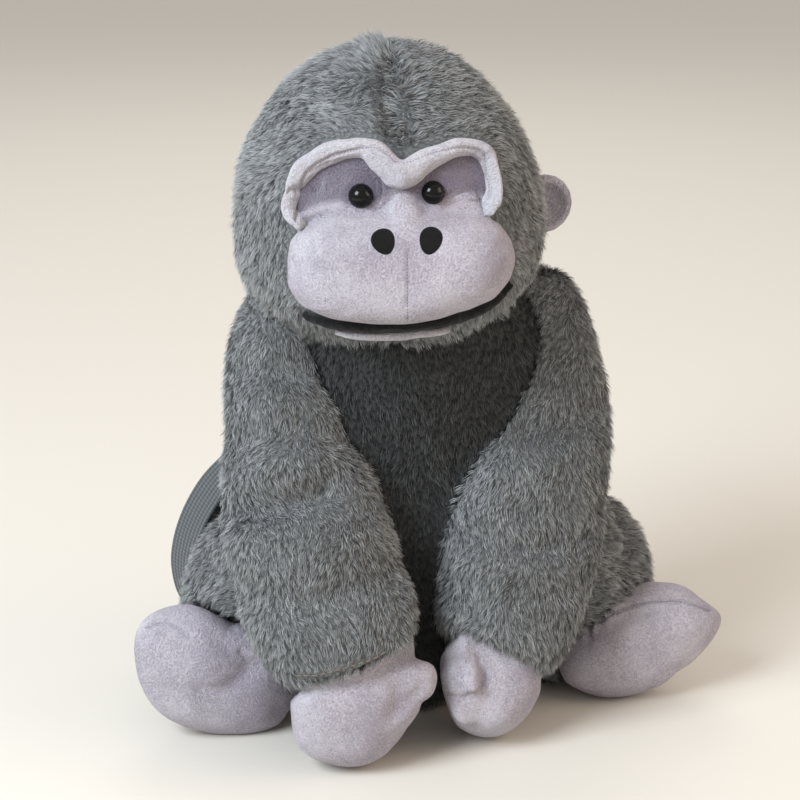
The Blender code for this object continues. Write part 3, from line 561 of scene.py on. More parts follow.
@dataclass(frozen=True)
class Outline:
    """The edge that a form shows in the photograph.

    Args:
        middle: A pixel inside it, from which the whole edge can be seen.
        edge: Its pixels in order round the middle. Where they leave a gap, the form keeps its own edge.
        bins: How many directions from the middle the edge is measured in.
        least: The least that a direction may shrink to.
        most: The most that one may grow to.
    """

    middle: Pixel
    edge: tuple[Pixel, ...]
    bins: int = 90
    least: float = 0.75
    most: float = 1.35

    def fit(self, points: Points, view: PhotoView) -> Points:
        """Spread points in the picture's plane until their own edge follows this one."""
        step = 2 * math.pi / self.bins
        off = view.pixels(points) - np.array(self.middle)
        angle, radius = np.arctan2(off[:, 1], off[:, 0]), np.hypot(off[:, 0], off[:, 1])
        centres = -math.pi + step * (np.arange(self.bins) + 0.5)
        own = np.zeros(self.bins)
        np.maximum.at(own, ((angle + math.pi) / step).astype(int) % self.bins, radius)
        own = np.maximum(own, 1.0)
        chain = np.array(self.edge) - np.array(self.middle)
        turn, wanted = np.unwrap(np.arctan2(chain[:, 1], chain[:, 0])), np.hypot(chain[:, 0], chain[:, 1])
        if turn[-1] < turn[0]:
            turn, wanted = turn[::-1], wanted[::-1]
        ahead = turn[0] + (centres - turn[0]) % (2 * math.pi)
        ratio = np.where(ahead <= turn[-1], np.interp(ahead, turn, wanted) / own, 1.0)
        ratio = ratio.clip(self.least, self.most)
        for _ in range(2):
            ratio = (np.roll(ratio, 1) + 2 * ratio + np.roll(ratio, -1)) / 4
        share = (radius / np.interp(angle, centres, own, period=2 * math.pi)).clip(0.0, 1.0) ** 1.5
        grown = (np.interp(angle, centres, ratio, period=2 * math.pi) - 1) * share
        right, up, back = (np.array(axis) for axis in view.axes())
        scale = view.pixel_size(1.0) * -((points - np.array(view.eye())) @ back)
        shift = off * (grown * scale)[:, None]
        return points + shift[:, :1] * right - shift[:, 1:] * up


@dataclass(frozen=True)
class StitchRow:
    """A row of thread stitches along a path in the photograph.

    Args:
        path: The pixels it runs through.
        pitch: From stitch to stitch.
        length: A stitch's length.
        radius: Half the thread's thickness.
        lift: How high it lies over the surface.
    """

    path: tuple[Pixel, ...]
    pitch: float = 0.0018
    length: float = 0.0012
    radius: float = 0.00028
    lift: float = 0.0

    def add_to(self, bm: bmesh.types.BMesh, view: PhotoView, surface: BVHTree) -> None:
        """Fill a bmesh with the row's stitches, half sunk in the surface."""
        line = view.trace(self.path, surface)
        ends = np.cumsum([0.0] + [(b - a).length for a, b in zip(line, line[1:])])
        for along in np.arange(self.pitch / 2, ends[-1], self.pitch):
            leg = int(np.searchsorted(ends, along)) - 1
            ahead = (line[leg + 1] - line[leg]).normalized()
            place, normal, _, _ = surface.find_nearest(line[leg] + ahead * (along - ends[leg]))
            stitch = bmesh.ops.create_icosphere(bm, subdivisions=1, radius=1.0)["verts"]
            side = normal.cross(ahead).normalized()
            turn = Matrix((ahead, side, ahead.cross(side))).transposed().to_4x4()
            size = Matrix.Diagonal((self.length / 2, self.radius, self.radius, 1.0))
            middle = Matrix.Translation(place + normal * self.lift)
            bmesh.ops.transform(bm, matrix=middle @ turn @ size, verts=stitch)


def rows_near(rows: Sequence[tuple[float, ...]], first: int) -> list[tuple[float, ...]]:
    """The row given, the one before it and the two after it, with the end rows repeated."""
    return [rows[min(max(first + step, 0), len(rows) - 1)] for step in (-1, 0, 1, 2)]


def curve_at(near: Sequence[tuple[float, ...]], t: float) -> tuple[float, ...]:
    """The point at share t between the second and third of four rows, on a smooth curve."""
    return tuple(
        0.5 * (2 * b + (c - a) * t + (2 * a - 5 * b + 4 * c - d) * t * t + (3 * b - a - 3 * c + d) * t ** 3)
        for a, b, c, d in zip(*near)
    )


def mesh_points(mesh: Mesh) -> Points:
    """A mesh's vertices, a row each."""
    flat = np.empty(len(mesh.vertices) * 3, np.float32)
    mesh.vertices.foreach_get("co", flat)
    return flat.reshape(-1, 3).astype(float)


def mesh_normals(mesh: Mesh) -> Points:
    """A mesh's vertex normals, a row each."""
    flat = np.empty(len(mesh.vertices) * 3, np.float32)
    mesh.vertex_normals.foreach_get("vector", flat)
    return flat.reshape(-1, 3).astype(float)


def move_points(mesh: Mesh, points: Points) -> None:
    """Put a mesh's vertices at the given places."""
    mesh.vertices.foreach_set("co", points.astype(np.float32).ravel())
    mesh.update()


def set_attribute(mesh: Mesh, name: str, values: Points) -> None:
    """Write values on a mesh's vertices, a number or a vector each."""
    kind, key = ("FLOAT", "value") if values.ndim == 1 else ("FLOAT_VECTOR", "vector")
    attribute = mesh.attributes.new(name, kind, "POINT")
    attribute.data.foreach_set(key, values.astype(np.float32).ravel())


def unit(vectors: Points) -> Points:
    """The vectors at length 1."""
    return vectors / np.maximum(np.linalg.norm(vectors, axis=1, keepdims=True), 1e-9)


def smooth_step(values: Points, low: float, high: float) -> Points:
    """From 0 at low to 1 at high, with soft ends."""
    share = np.clip((values - low) / (high - low), 0.0, 1.0)
    return share * share * (3 - 2 * share)


def noise_at(points: Points, scale: float, shift: float = 0.0) -> Points:
    """A smooth noise of three values at each point, each from about -1 to 1."""
    offset = Vector((shift, 2 * shift, -shift))
    return np.array([noise.noise_vector(Vector(point) * scale + offset)[:] for point in points])


def path_distance(points: Points, path: Sequence[Vector]) -> Points:
    """How far each point is from a path."""
    nearest = np.full(len(points), np.inf)
    for start, end in zip(path, path[1:]):
        a, d = np.array(start), np.array(end - start)
        share = np.clip(((points - a) @ d) / max(d @ d, 1e-12), 0.0, 1.0)
        nearest = np.minimum(nearest, np.linalg.norm(points - a - share[:, None] * d, axis=1))
    return nearest


def blur(mesh: Mesh, values: Points, rounds: int) -> Points:
    """Even out values from vertex to vertex."""
    ends = np.empty(len(mesh.edges) * 2, np.int32)
    mesh.edges.foreach_get("vertices", ends)
    first, second = ends.reshape(-1, 2).T
    count = np.bincount(ends, minlength=len(values)).clip(1)
    size = len(values)
    for _ in range(rounds):
        total = np.bincount(first, values[second], size) + np.bincount(second, values[first], size)
        values = 0.5 * values + 0.5 * total / count
    return values


def new_piece(name: str, bm: bmesh.types.BMesh) -> Object:
    """A smooth-shaded object from a bmesh, which is freed."""
    mesh = bpy.data.meshes.new(name)
    bm.to_mesh(mesh)
    bm.free()
    mesh.shade_smooth()
    piece = bpy.data.objects.new(name, mesh)
    bpy.context.scene.collection.objects.link(piece)
    return piece


def settle(piece: Object) -> None:
    """Replace a piece's mesh by what its modifiers make of it."""
    depsgraph = bpy.context.evaluated_depsgraph_get()
    mesh = bpy.data.meshes.new_from_object(piece.evaluated_get(depsgraph))
    old = piece.data
    piece.modifiers.clear()
    piece.data = mesh
    bpy.data.meshes.remove(old)


def surface_of(*pieces: Object) -> BVHTree:
    """One tree of the pieces' surfaces."""
    points, faces = [], []
    for piece in pieces:
        first = len(points)
        points += [vertex.co.copy() for vertex in piece.data.vertices]
        faces += [[first + corner for corner in face.vertices] for face in piece.data.polygons]
    return BVHTree.FromPolygons(points, faces)


def thicken(piece: Object, thickness: float, offset: float = -1.0) -> None:
    """Give a sheet a thickness: behind its faces, or with offset 0 on both sides of them."""
    solid = piece.modifiers.new("thickness", "SOLIDIFY")
    solid.thickness = thickness
    solid.offset = offset


def round_edges(piece: Object, width: float) -> None:
    """Round a piece's edges."""
    bevel = piece.modifiers.new("rounding", "BEVEL")
    bevel.width = width
    bevel.segments = 3


def triangles(piece: Object) -> int:
    """How many triangles a piece has."""
    return sum(len(face.vertices) - 2 for face in piece.data.polygons)


@dataclass
class Workshop:
    """What every piece is made with: the frame, the photograph's view and the finishes."""

    nodes: dict[str, Object]
    view: PhotoView
    finishes: dict[str, Material]
    made: list[Object] = field(default_factory=list)

    def node_copy(self, node: str, name: str) -> Object:
        """A merged copy of a CAD node's mesh, as a piece of its own."""
        bm = bmesh.new()
        bm.from_mesh(self.nodes[node].data)
        bmesh.ops.remove_doubles(bm, verts=bm.verts, dist=MERGE)
        if node in HOLLOW:
            self.fill_hollow(bm)
        return new_piece(name, bm)

    @staticmethod
    def fill_hollow(bm: bmesh.types.BMesh) -> None:
        """Take out the faces that have their own piece on every side, and close the opening."""
        tree = BVHTree.FromBMesh(bm)
        ways = [Vector(way).normalized() for way in itertools.product((-1, 0, 1), repeat=3) if any(way)]
        inner = []
        for face in bm.faces:
            start = face.calc_center_median() + face.normal * 20 * MERGE
            met = sum(tree.ray_cast(start, way)[0] is not None for way in ways)
            if met > WAYS_MET:
                inner.append(face)
        bmesh.ops.delete(bm, geom=inner, context="FACES")
        bmesh.ops.holes_fill(bm, edges=[edge for edge in bm.edges if edge.is_boundary])

    def skin(self, node: str, name: str, voxel: float, rounds: int) -> Object:
        """A smooth skin over a CAD node."""
        return self.fuse(self.node_copy(node, name), voxel, rounds)

    def fuse(self, piece: Object, voxel: float, rounds: int) -> Object:
        """Run a piece's overlapping parts together under one smooth skin.

        Args:
            piece: The piece.
            voxel: The remesh's cell.
            rounds: How often it is smoothed.

        Returns:
            The same piece.
        """
        remesh = piece.modifiers.new("cells", "REMESH")
        remesh.mode = "VOXEL"
        remesh.voxel_size = voxel
        ease = piece.modifiers.new("ease", "SMOOTH")
        ease.factor = 0.6
        ease.iterations = rounds
        settle(piece)
        piece.data.shade_smooth()
        return piece

    def roll(self, name: str, roll: Roll, node: str, voxel: float, rounds: int) -> Object:
        """A stuffed roll on a CAD node's surface."""
        bm = bmesh.new()
        roll.add_to(bm, self.view, surface_of(self.nodes[node]))
        return self.fuse(new_piece(name, bm), voxel, rounds)

    def pad_out(self, piece: Object, rolls: Sequence[tuple[Roll, Object]], voxel: float,
                rounds: int) -> Object:
        """Lay rolls of stuffing on a skin, each over an object's surface, and run all of it together.

        Args:
            piece: The skin, which the padded one replaces.
            rolls: Each roll with the object whose surface it lies on.
            voxel: The remesh's cell.
            rounds: How often it is smoothed.

        Returns:
            The padded skin.
        """
        bm = bmesh.new()
        bm.from_mesh(piece.data)
        for roll, under in rolls:
            roll.add_to(bm, self.view, surface_of(under))
        name = piece.name
        bpy.data.objects.remove(piece)
        return self.fuse(new_piece(name, bm), voxel, rounds)

    def ease_along(self, piece: Object, path: Sequence[Pixel], width: float, rounds: int) -> None:
        """Smooth a skin near a path in the photograph, so that what meets there runs together."""
        mesh = piece.data
        line = self.view.trace(path, surface_of(piece))
        weights = np.exp(-((path_distance(mesh_points(mesh), line) / width) ** 2))
        group = piece.vertex_groups.new(name="ease")
        for index in np.flatnonzero(weights > 0.02):
            group.add([int(index)], float(weights[index]), "REPLACE")
        ease = piece.modifiers.new("ease", "SMOOTH")
        ease.vertex_group = "ease"
        ease.factor = 0.7
        ease.iterations = rounds
        settle(piece)
        piece.vertex_groups.clear()

    def press(self, piece: Object, creases: Sequence[Crease]) -> None:
        """Press folds, dents and seams into a skin."""
        mesh = piece.data
        surface = surface_of(piece)
        points, normals = mesh_points(mesh), mesh_normals(mesh)
        for crease in creases:
            path = self.view.trace(crease.path, surface)
            if len(path) < 2:
                LOG.warning("%s: a crease misses it", piece.name)
                continue
            near = np.exp(-((path_distance(points, path) / crease.width) ** 2))
            points = points - normals * (crease.depth * near)[:, None]
        move_points(mesh, points)

    def fit(self, piece: Object, outline: Outline) -> None:
        """Spread a skin until its edge follows an outline."""
        move_points(piece.data, outline.fit(mesh_points(piece.data), self.view))

    def stitch(self, name: str, rows: Sequence[StitchRow], piece: Object, finish: str, slot: Slot) -> None:
        """Sew rows of thread on a piece, joined in one mesh."""
        bm = bmesh.new()
        surface = surface_of(piece)
        for row in rows:
            row.add_to(bm, self.view, surface)
        self.finish(new_piece(name, bm), finish, slot)

    def rumple(self, piece: Object, height: float, scale: float, shift: float = 0.0) -> None:
        """Make a stuffed skin a little uneven."""
        mesh = piece.data
        points, normals = mesh_points(mesh), mesh_normals(mesh)
        lift = noise_at(points, scale, shift)[:, 0] * height
        move_points(mesh, points + normals * lift[:, None])

    def finish(self, piece: Object, finish: str, slot: Slot, replaces: Sequence[str] = (),
               fill: float | None = None) -> Object:
        """Dress a piece and set it on the object.

        Args:
            piece: The finished piece.
            finish: The name of its finish.
            slot: The record's slot for it. Not used.
            replaces: The CAD nodes that it stands for.
            fill: How full it is, if it is padded. Not used.

        Returns:
            The piece.
        """
        piece.data.materials.clear()
        piece.data.materials.append(self.finishes[finish])
        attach(piece, "root")
        if replaces:
            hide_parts(*replaces)
        self.made.append(piece)
        LOG.info("%s: %d triangles", piece.name, triangles(piece))
        return piece


Flow = Callable[[Points, Points], Points]


@dataclass(frozen=True)
class Coat:
    """A coat of pile: how long it is, how it lies and how close its tufts stand.

    Args:
        length: A tuft's length.
        lean: Degrees that it leans from upright.
        spacing: The least distance between tufts.
        whirl: Degrees that its lie wanders.
        whirl_scale: How many wanders there are to a metre.
        spread: How much neighbouring tufts differ in direction.
    """

    length: float = 0.0064
    lean: float = 55.0
    spacing: float = 0.00185
    whirl: float = 40.0
    whirl_scale: float = 38.0
    spread: float = 0.30


@dataclass
class Tufts:
    """The tufts that every coat is made of, one unit long, and the nodes that set them on a skin.

    Args:
        blades: How many blades a tuft has.
        width: A blade's width at its root.
        radius: The root's radius.
        kinds: How many unlike tufts there are.
        seed: For their shapes.
        density: How many tries there are to set a tuft in a square as wide as the spacing.
        twist: How much the tufts differ in their turn.
        shortest: The shortest tuft, as a share of the coat's length.
        longest: The longest.
    """

    blades: int = 12
    width: float = 0.058
    radius: float = 0.21
    kinds: int = 5
    seed: int = 7
    density: float = 1.6
    twist: float = 0.35
    shortest: float = 0.75
    longest: float = 1.15

    def build_collection(self) -> bpy.types.Collection:
        """A few unlike tufts in a collection of their own."""
        rng = np.random.default_rng(self.seed)
        collection = bpy.data.collections.new("tufts")
        for kind in range(self.kinds):
            bm = bmesh.new()
            tip = bm.verts.layers.float.new("tip")
            for blade in range(self.blades):
                angle = 2 * math.pi * (blade + rng.uniform(-0.4, 0.4)) / self.blades
                self.add_blade(bm, tip, angle, 1 + (blade % 6 == 0), rng)
            tuft = new_piece(f"tuft_{kind}", bm)
            bpy.context.scene.collection.objects.unlink(tuft)
            collection.objects.link(tuft)
        return collection

    def add_blade(self, bm: bmesh.types.BMesh, tip: bmesh.types.BMLayerItem, angle: float, steps: int,
                  rng: np.random.Generator) -> None:
        """One blade of a tuft: it rises, bends over in steps and ends in a point."""
        grid = bmesh.ops.create_grid(bm, x_segments=1, y_segments=steps, size=0.5)["verts"]
        for vertex in grid:
            vertex[tip] = vertex.co.y + 0.5
        top = [vertex for vertex in grid if vertex.co.y > 0.4]
        bmesh.ops.pointmerge(bm, verts=top, merge_co=(top[0].co + top[1].co) / 2)
        outward = Vector((math.cos(angle), math.sin(angle), 0.0))
        root = outward * self.radius * math.sqrt(rng.uniform(0.05, 1.0))
        reach = rng.uniform(0.62, 1.10)
        turn = Matrix.Rotation(rng.uniform(-1.2, 1.2), 3, "Z")
        stray = Vector((rng.uniform(-0.16, 0.16), rng.uniform(-0.10, 0.10), 0.0))
        for vertex in [vertex for vertex in grid if vertex.is_valid]:
            along = vertex[tip]
            flat = turn @ Vector((vertex.co.x * self.width * (1 - 0.15 * along), 0.0, 0.0))
            bend = 0.14 * math.sin(math.pi * along) - 0.08 * along
            vertex.co = root * (1 - 0.40 * along) + flat + stray * along + Vector((0.0, bend, along * reach))

    def node_group(self, collection: bpy.types.Collection, coat: Coat, seed: int) -> bpy.types.NodeTree:
        """The nodes that set tufts along a skin's nap and make them real."""
        tree = bpy.data.node_groups.new("pile", "GeometryNodeTree")
        tree.interface.new_socket("Geometry", in_out="INPUT", socket_type="NodeSocketGeometry")
        tree.interface.new_socket("Geometry", in_out="OUTPUT", socket_type="NodeSocketGeometry")
        link = tree.links.new

        def node(kind: str, **values: object) -> bpy.types.Node:
            """Add a node and set its properties."""
            made = tree.nodes.new(kind)
            for name, value in values.items():
                setattr(made, name, value)
            return made

        def named(name: str, kind: str) -> NodeSocket:
            """A value that the skin carries."""
            made = node("GeometryNodeInputNamedAttribute", data_type=kind)
            made.inputs["Name"].default_value = name
            return made.outputs["Attribute"]

        def added(first: NodeSocket, second: NodeSocket) -> NodeSocket:
            """Two vectors' sum."""
            made = node("ShaderNodeVectorMath", operation="ADD")
            link(first, made.inputs[0])
            link(second, made.inputs[1])
            return made.outputs[0]

        def random_vector(size: float, shift: int) -> NodeSocket:
            """A vector that differs from tuft to tuft."""
            made = node("FunctionNodeRandomValue", data_type="FLOAT_VECTOR")
            made.inputs[0].default_value = (-size, -size, -size)
            made.inputs[1].default_value = (size, size, size)
            made.inputs["Seed"].default_value = seed + shift
            return made.outputs[0]

        def random_value(low: float, high: float, shift: int) -> NodeSocket:
            """A number that differs from tuft to tuft."""
            made = node("FunctionNodeRandomValue", data_type="FLOAT")
            made.inputs[2].default_value = low
            made.inputs[3].default_value = high
            made.inputs["Seed"].default_value = seed + shift
            return made.outputs[1]

        skin = node("NodeGroupInput")
        points = node("GeometryNodeDistributePointsOnFaces", distribute_method="POISSON")
        points.inputs["Distance Min"].default_value = coat.spacing
        points.inputs["Density Max"].default_value = self.density / coat.spacing ** 2
        points.inputs["Seed"].default_value = seed
        link(skin.outputs[0], points.inputs["Mesh"])
        link(named("cover", "FLOAT"), points.inputs["Density Factor"])
        turn = node("FunctionNodeAxesToRotation", primary_axis="Z", secondary_axis="Y")
        link(added(named("nap", "FLOAT_VECTOR"), random_vector(coat.spread, 1)), turn.inputs[0])
        link(added(points.outputs["Normal"], random_vector(self.twist, 2)), turn.inputs[1])
        size = node("ShaderNodeMath", operation="MULTIPLY")
        link(named("pile", "FLOAT"), size.inputs[0])
        link(random_value(self.shortest * coat.length, self.longest * coat.length, 3), size.inputs[1])
        tufts = node("GeometryNodeCollectionInfo")
        tufts.inputs["Collection"].default_value = collection
        tufts.inputs["Separate Children"].default_value = True
        tufts.inputs["Reset Children"].default_value = True
        instances = node("GeometryNodeInstanceOnPoints")
        instances.inputs["Pick Instance"].default_value = True
        link(points.outputs["Points"], instances.inputs["Points"])
        link(tufts.outputs[0], instances.inputs["Instance"])
        link(turn.outputs[0], instances.inputs["Rotation"])
        link(size.outputs[0], instances.inputs["Scale"])
        kept = instances.outputs[0]
        for name, kind, value in (
            ("tuft", "FLOAT", random_value(0.0, 1.0, 4)),
            ("skin", "FLOAT_VECTOR", named("normal", "FLOAT_VECTOR")),
        ):
            store = node("GeometryNodeStoreNamedAttribute", data_type=kind, domain="INSTANCE")
            store.inputs["Name"].default_value = name
            link(kept, store.inputs["Geometry"])
            link(value, store.inputs["Value"])
            kept = store.outputs[0]
        real = node("GeometryNodeRealizeInstances")
        link(kept, real.inputs[0])
        link(real.outputs[0], node("NodeGroupOutput").inputs[0])
        return tree


@dataclass
class Furrier:
    """Grows pile on the skins, and keeps it off what covers them.

    Args:
        shop: What pieces are made with.
        tufts: The tufts that are set.
    """

    shop: Workshop
    tufts: Tufts = field(default_factory=Tufts)
    collection: bpy.types.Collection | None = None

    @staticmethod
    def open_share(skin: Object, others: BVHTree, reach: float) -> Points:
        """How open each point of a skin is: 0 where another piece lies on it."""
        shares = np.ones(len(skin.data.vertices))
        for index, vertex in enumerate(skin.data.vertices):
            hit = others.ray_cast(vertex.co, vertex.normal, reach)
            near = others.find_nearest(vertex.co, reach)
            inside = near[0] is not None and (vertex.co - near[0]).dot(near[1]) < 0
            if hit[0] is not None or inside:
                shares[index] = 0.0
        return shares

    @staticmethod
    def distance(skin: Object, others: BVHTree, most: float) -> Points:
        """How far each point of a skin is from the other pieces, up to a most."""
        found = [others.find_nearest(vertex.co, most)[3] for vertex in skin.data.vertices]
        return np.array([most if value is None else value for value in found])

    def grow(self, skin: Object, coat: Coat, flow: Flow, cover: Points, pile: Points, stand: Points,
             seed: int, finish: str) -> Object:
        """Grow a coat on a skin.

        Args:
            skin: The skin.
            coat: The coat.
            flow: Gives the way the pile lies at each point and normal.
            cover: How thick the pile stands at each vertex, from 0 to 1.
            pile: Its length at each vertex, as a share of the coat's.
            stand: How far it stands up instead of leaning at each vertex, from 0 to 1.
            seed: For the tufts' scatter.
            finish: The name of the pile's finish.

        Returns:
            The coat.
        """
        mesh = skin.data
        points, normals = mesh_points(mesh), mesh_normals(mesh)
        lie = flow(points, normals)
        lie = unit(lie - normals * (lie * normals).sum(1, keepdims=True))
        wander = noise_at(points, coat.whirl_scale, seed)
        angle = np.radians(coat.whirl) * wander[:, :1] * 1.6
        lie = lie * np.cos(angle) + np.cross(normals, lie) * np.sin(angle)
        lean = np.radians(coat.lean + 12.0 * wander[:, 1]) * (1 - 0.6 * stand)
        nap = lie * np.sin(lean)[:, None] + normals * np.cos(lean)[:, None]
        uneven = 1.0 + 0.16 * noise_at(points, coat.whirl_scale * 2.4, seed + 3.0)[:, 0]
        carried = {"nap": nap, "normal": normals, "cover": cover, "pile": pile * uneven}
        for name, values in carried.items():
            set_attribute(mesh, name, values)
        if self.collection is None:
            self.collection = self.tufts.build_collection()
        grown = bpy.data.objects.new(skin.name.replace("_skin", "_pile"), mesh.copy())
        bpy.context.scene.collection.objects.link(grown)
        growth = grown.modifiers.new("pile", "NODES")
        growth.node_group = self.tufts.node_group(self.collection, coat, seed)
        settle(grown)
        for name in carried:
            for data in (grown.data, mesh):
                if name in data.attributes:
                    data.attributes.remove(data.attributes[name])
        return self.shop.finish(grown, finish, Slot.FUR)

    def clear_up(self) -> None:
        """Remove the tufts that the coats were made from."""
        if self.collection is None:
            return
        for tuft in list(self.collection.objects):
            bpy.data.objects.remove(tuft)
        bpy.data.collections.remove(self.collection)
        self.collection = None


@dataclass(frozen=True)
class EyeSpot:
    """A safety eye: the middle pixel of its dome, its radius, and how far it is sunk in the cloth."""

    middle: Pixel
    radius: float = 0.0066
    sunk: float = 0.0012


@dataclass(frozen=True)
class NostrilPatch:
    """An egg of satin stitch: its middle pixel, half width, half height and tilt in degrees."""

    middle: Pixel
    half: Pixel
    tilt: float
    narrowing: float = 0.20


@dataclass
class Face:
    """The velour face: brow, eye sockets, muzzle, mouth, lip, ears, and the black nostrils and eyes."""

    shop: Workshop
    cell: float = 0.0009
    mask_cell: float = 0.0012
    felt_cell: float = 0.0010
    nostril_relief: float = 0.0010
    nostril_thickness: float = 0.0012
    nostril_points: int = 40
    # How dark the painted shade inside the ears' cups is.
    ear_shade: float = 0.30
    eye_dent: float = 0.0016
    eye_dent_width: float = 0.0075
    brow: Roll = Roll((
        (302, 226, 4.0), (294, 216, 5.6), (291, 204, 6.4), (294, 193, 6.0), (297, 182, 8.6), (304, 170, 10.4),
        (316, 160, 11.2), (331, 153, 11.0), (348, 149, 10.2), (364, 148, 9.8), (376, 154, 12.4),
        (386, 165, 14.8), (396, 174, 15.8), (407, 173.5, 14.8), (420, 165, 12.8), (434, 156, 11.2),
        (447, 151, 10.2), (461, 148, 9.0), (475, 149, 8.2), (484, 155, 7.6), (488, 166, 6.8), (491, 178, 6.6),
        (493, 190, 6.6), (491, 202, 6.2), (487, 213, 4.4),
    ), 0.0040, 0.0078)
    brow_seams: tuple[Crease, ...] = (
        Crease(((296, 220), (299, 205), (303, 195), (302, 183), (306, 174), (317, 164), (332, 156), (347, 152),
                (361, 149), (372, 147), (382, 149), (391, 155), (397, 161)), 0.0016, 0.0010),
        Crease(((397, 161), (405, 163), (413, 161), (421, 157)), 0.0010, 0.0014),
        Crease(((421, 157), (434, 152), (446, 150), (457, 148), (466, 148), (476, 150), (484, 154), (485, 163),
                (485, 174), (489, 184), (489, 197)), 0.0014, 0.0010),
    )
    brow_folds: tuple[Crease, ...] = (
        Crease(((289, 192), (294, 190), (299, 191)), 0.0024, 0.0022),
        Crease(((311, 172), (318, 168), (328, 163)), 0.0010, 0.0014),
        Crease(((376, 160), (381, 168), (384, 178)), 0.0024, 0.0036),
        Crease(((401, 166), (404, 176), (402, 184)), -0.0012, 0.0030),
        Crease(((430, 152), (436, 162)), 0.0007, 0.0026),
        Crease(((489, 196), (494, 197)), 0.0012, 0.0020),
    )
    bridge: Roll = Roll(((396, 188, 5.0), (402, 198, 9.0), (405, 208, 14.0), (406, 220, 18.0)), -0.0015, 0.0050)
    sockets: tuple[Roll, ...] = (
        Roll(((297, 224, 6.0), (300, 210, 9.0), (306, 196, 10.0), (314, 182, 10.0)), 0.0004, 0.0030),
        Roll(((487, 210, 6.0), (485, 196, 8.0), (482, 180, 8.0), (478, 168, 8.0)), 0.0004, 0.0030),
    )
    seam: StitchRow = StitchRow(
        ((407.5, 254), (407.5, 275), (407.5, 300), (407.5, 312), (407.5, 319)), 0.0017, 0.0010, 0.00030)
    muzzle_edge: Outline = Outline((402, 262), (
        (290, 246), (287.5, 262), (287, 276), (288, 289), (293, 299), (304, 310), (317, 317), (332, 320.5),
        (350, 322), (367, 323), (390, 324), (405, 324), (424, 322.5), (442, 319), (461, 313), (480, 306.5),
        (493, 299.5), (505, 289), (512.5, 275), (515.5, 260), (513.5, 246), (508, 235),
    ))
    join: tuple[Pixel, ...] = (
        (292, 224), (311, 219), (330, 215), (350, 213), (372, 210), (390, 204), (407, 203), (425, 207),
        (446, 206), (465, 203), (490, 208),
    )
    # Above this line the eye sockets get painted shade.
    lid_line: tuple[Pixel, ...] = (
        (296, 220), (311, 212), (324, 207), (340, 205), (352, 209), (362, 211), (375, 207), (385, 200),
        (396, 192), (410, 199), (424, 206), (436, 207), (446, 203), (455, 197), (466, 195), (476, 197),
        (488, 203),
    )
    # How many pixels the sockets' painted shade takes to fade in.
    lid_fade: float = 9.0
    mask_folds: tuple[Crease, ...] = (
        Crease(((407.5, 250), (407.5, 262), (407.5, 280), (407.5, 300), (407.5, 320)), 0.0014, 0.0008),
        Crease(((305, 222), (321, 217), (345, 214), (361, 213), (373, 210), (384, 204), (393, 196)),
               0.0026, 0.0018),
        Crease(((398, 192), (390, 200), (378, 208)), 0.0024, 0.0014),
        Crease(((400, 192), (406, 199), (416, 204), (428, 208)), 0.0020, 0.0018),
        Crease(((372, 170), (378, 180), (380, 190), (378, 199), (373, 207)), 0.0022, 0.0016),
        Crease(((446, 206), (456, 199), (466, 196), (478, 198), (486, 204)), 0.0022, 0.0024),
        Crease(((300, 219), (312, 212), (326, 208), (342, 207)), -0.0018, 0.0024),
        Crease(((396, 206), (406, 204), (416, 209)), -0.0016, 0.0040),
        Crease(((306, 200), (318, 186), (336, 178)), 0.0014, 0.0044),
        Crease(((462, 170), (474, 180), (480, 192)), 0.0010, 0.0040),
        Crease(((312, 236), (316, 250)), 0.0006, 0.0024),
        Crease(((292, 262), (298, 278), (306, 292)), 0.0007, 0.0030),
        Crease(((505, 262), (498, 280), (488, 292)), 0.0006, 0.0030),
    )
    mouth: Roll = Roll((
        (303, 313, 1.2), (309, 317, 3.0), (319, 320, 4.8), (333, 324, 6.0), (350, 326, 6.6), (368, 327, 6.4),
        (390, 326, 6.0), (400, 326, 6.0), (418, 325, 6.2), (442, 322, 6.4), (461, 317, 6.6), (480, 310, 5.8),
        (493, 302, 4.2), (503, 293, 2.8), (511, 283, 1.4),
    ), 0.0036, 0.0032)
    lip: Roll = Roll((
        (336, 331.5, 1.6), (350, 335, 3.4), (368, 336.5, 4.4), (390, 336.5, 5.2), (405, 336, 5.0),
        (414, 334.5, 3.8), (436, 332.5, 3.6), (449, 329.5, 1.6),
    ), 0.0034, 0.0026)
    eyes: dict[str, EyeSpot] = field(default_factory=lambda: {
        "right": EyeSpot((360.9, 196.0), 0.0067),
        "left": EyeSpot((432.8, 192.6), 0.0065),
    })
    nostrils: dict[str, NostrilPatch] = field(default_factory=lambda: {
        "right": NostrilPatch((383.6, 241.8), (12.4, 14.2), -22.0),
        "left": NostrilPatch((430.6, 240.8), (12.0, 15.0), 13.0),
    })
    ear_tuck: dict[str, tuple[float, float, float]] = field(default_factory=lambda: {
        "right": (0.0045, 0.0, 0.0),
        "left": (-0.0024, 0.0, 0.0),
    })
    mask: Object | None = None

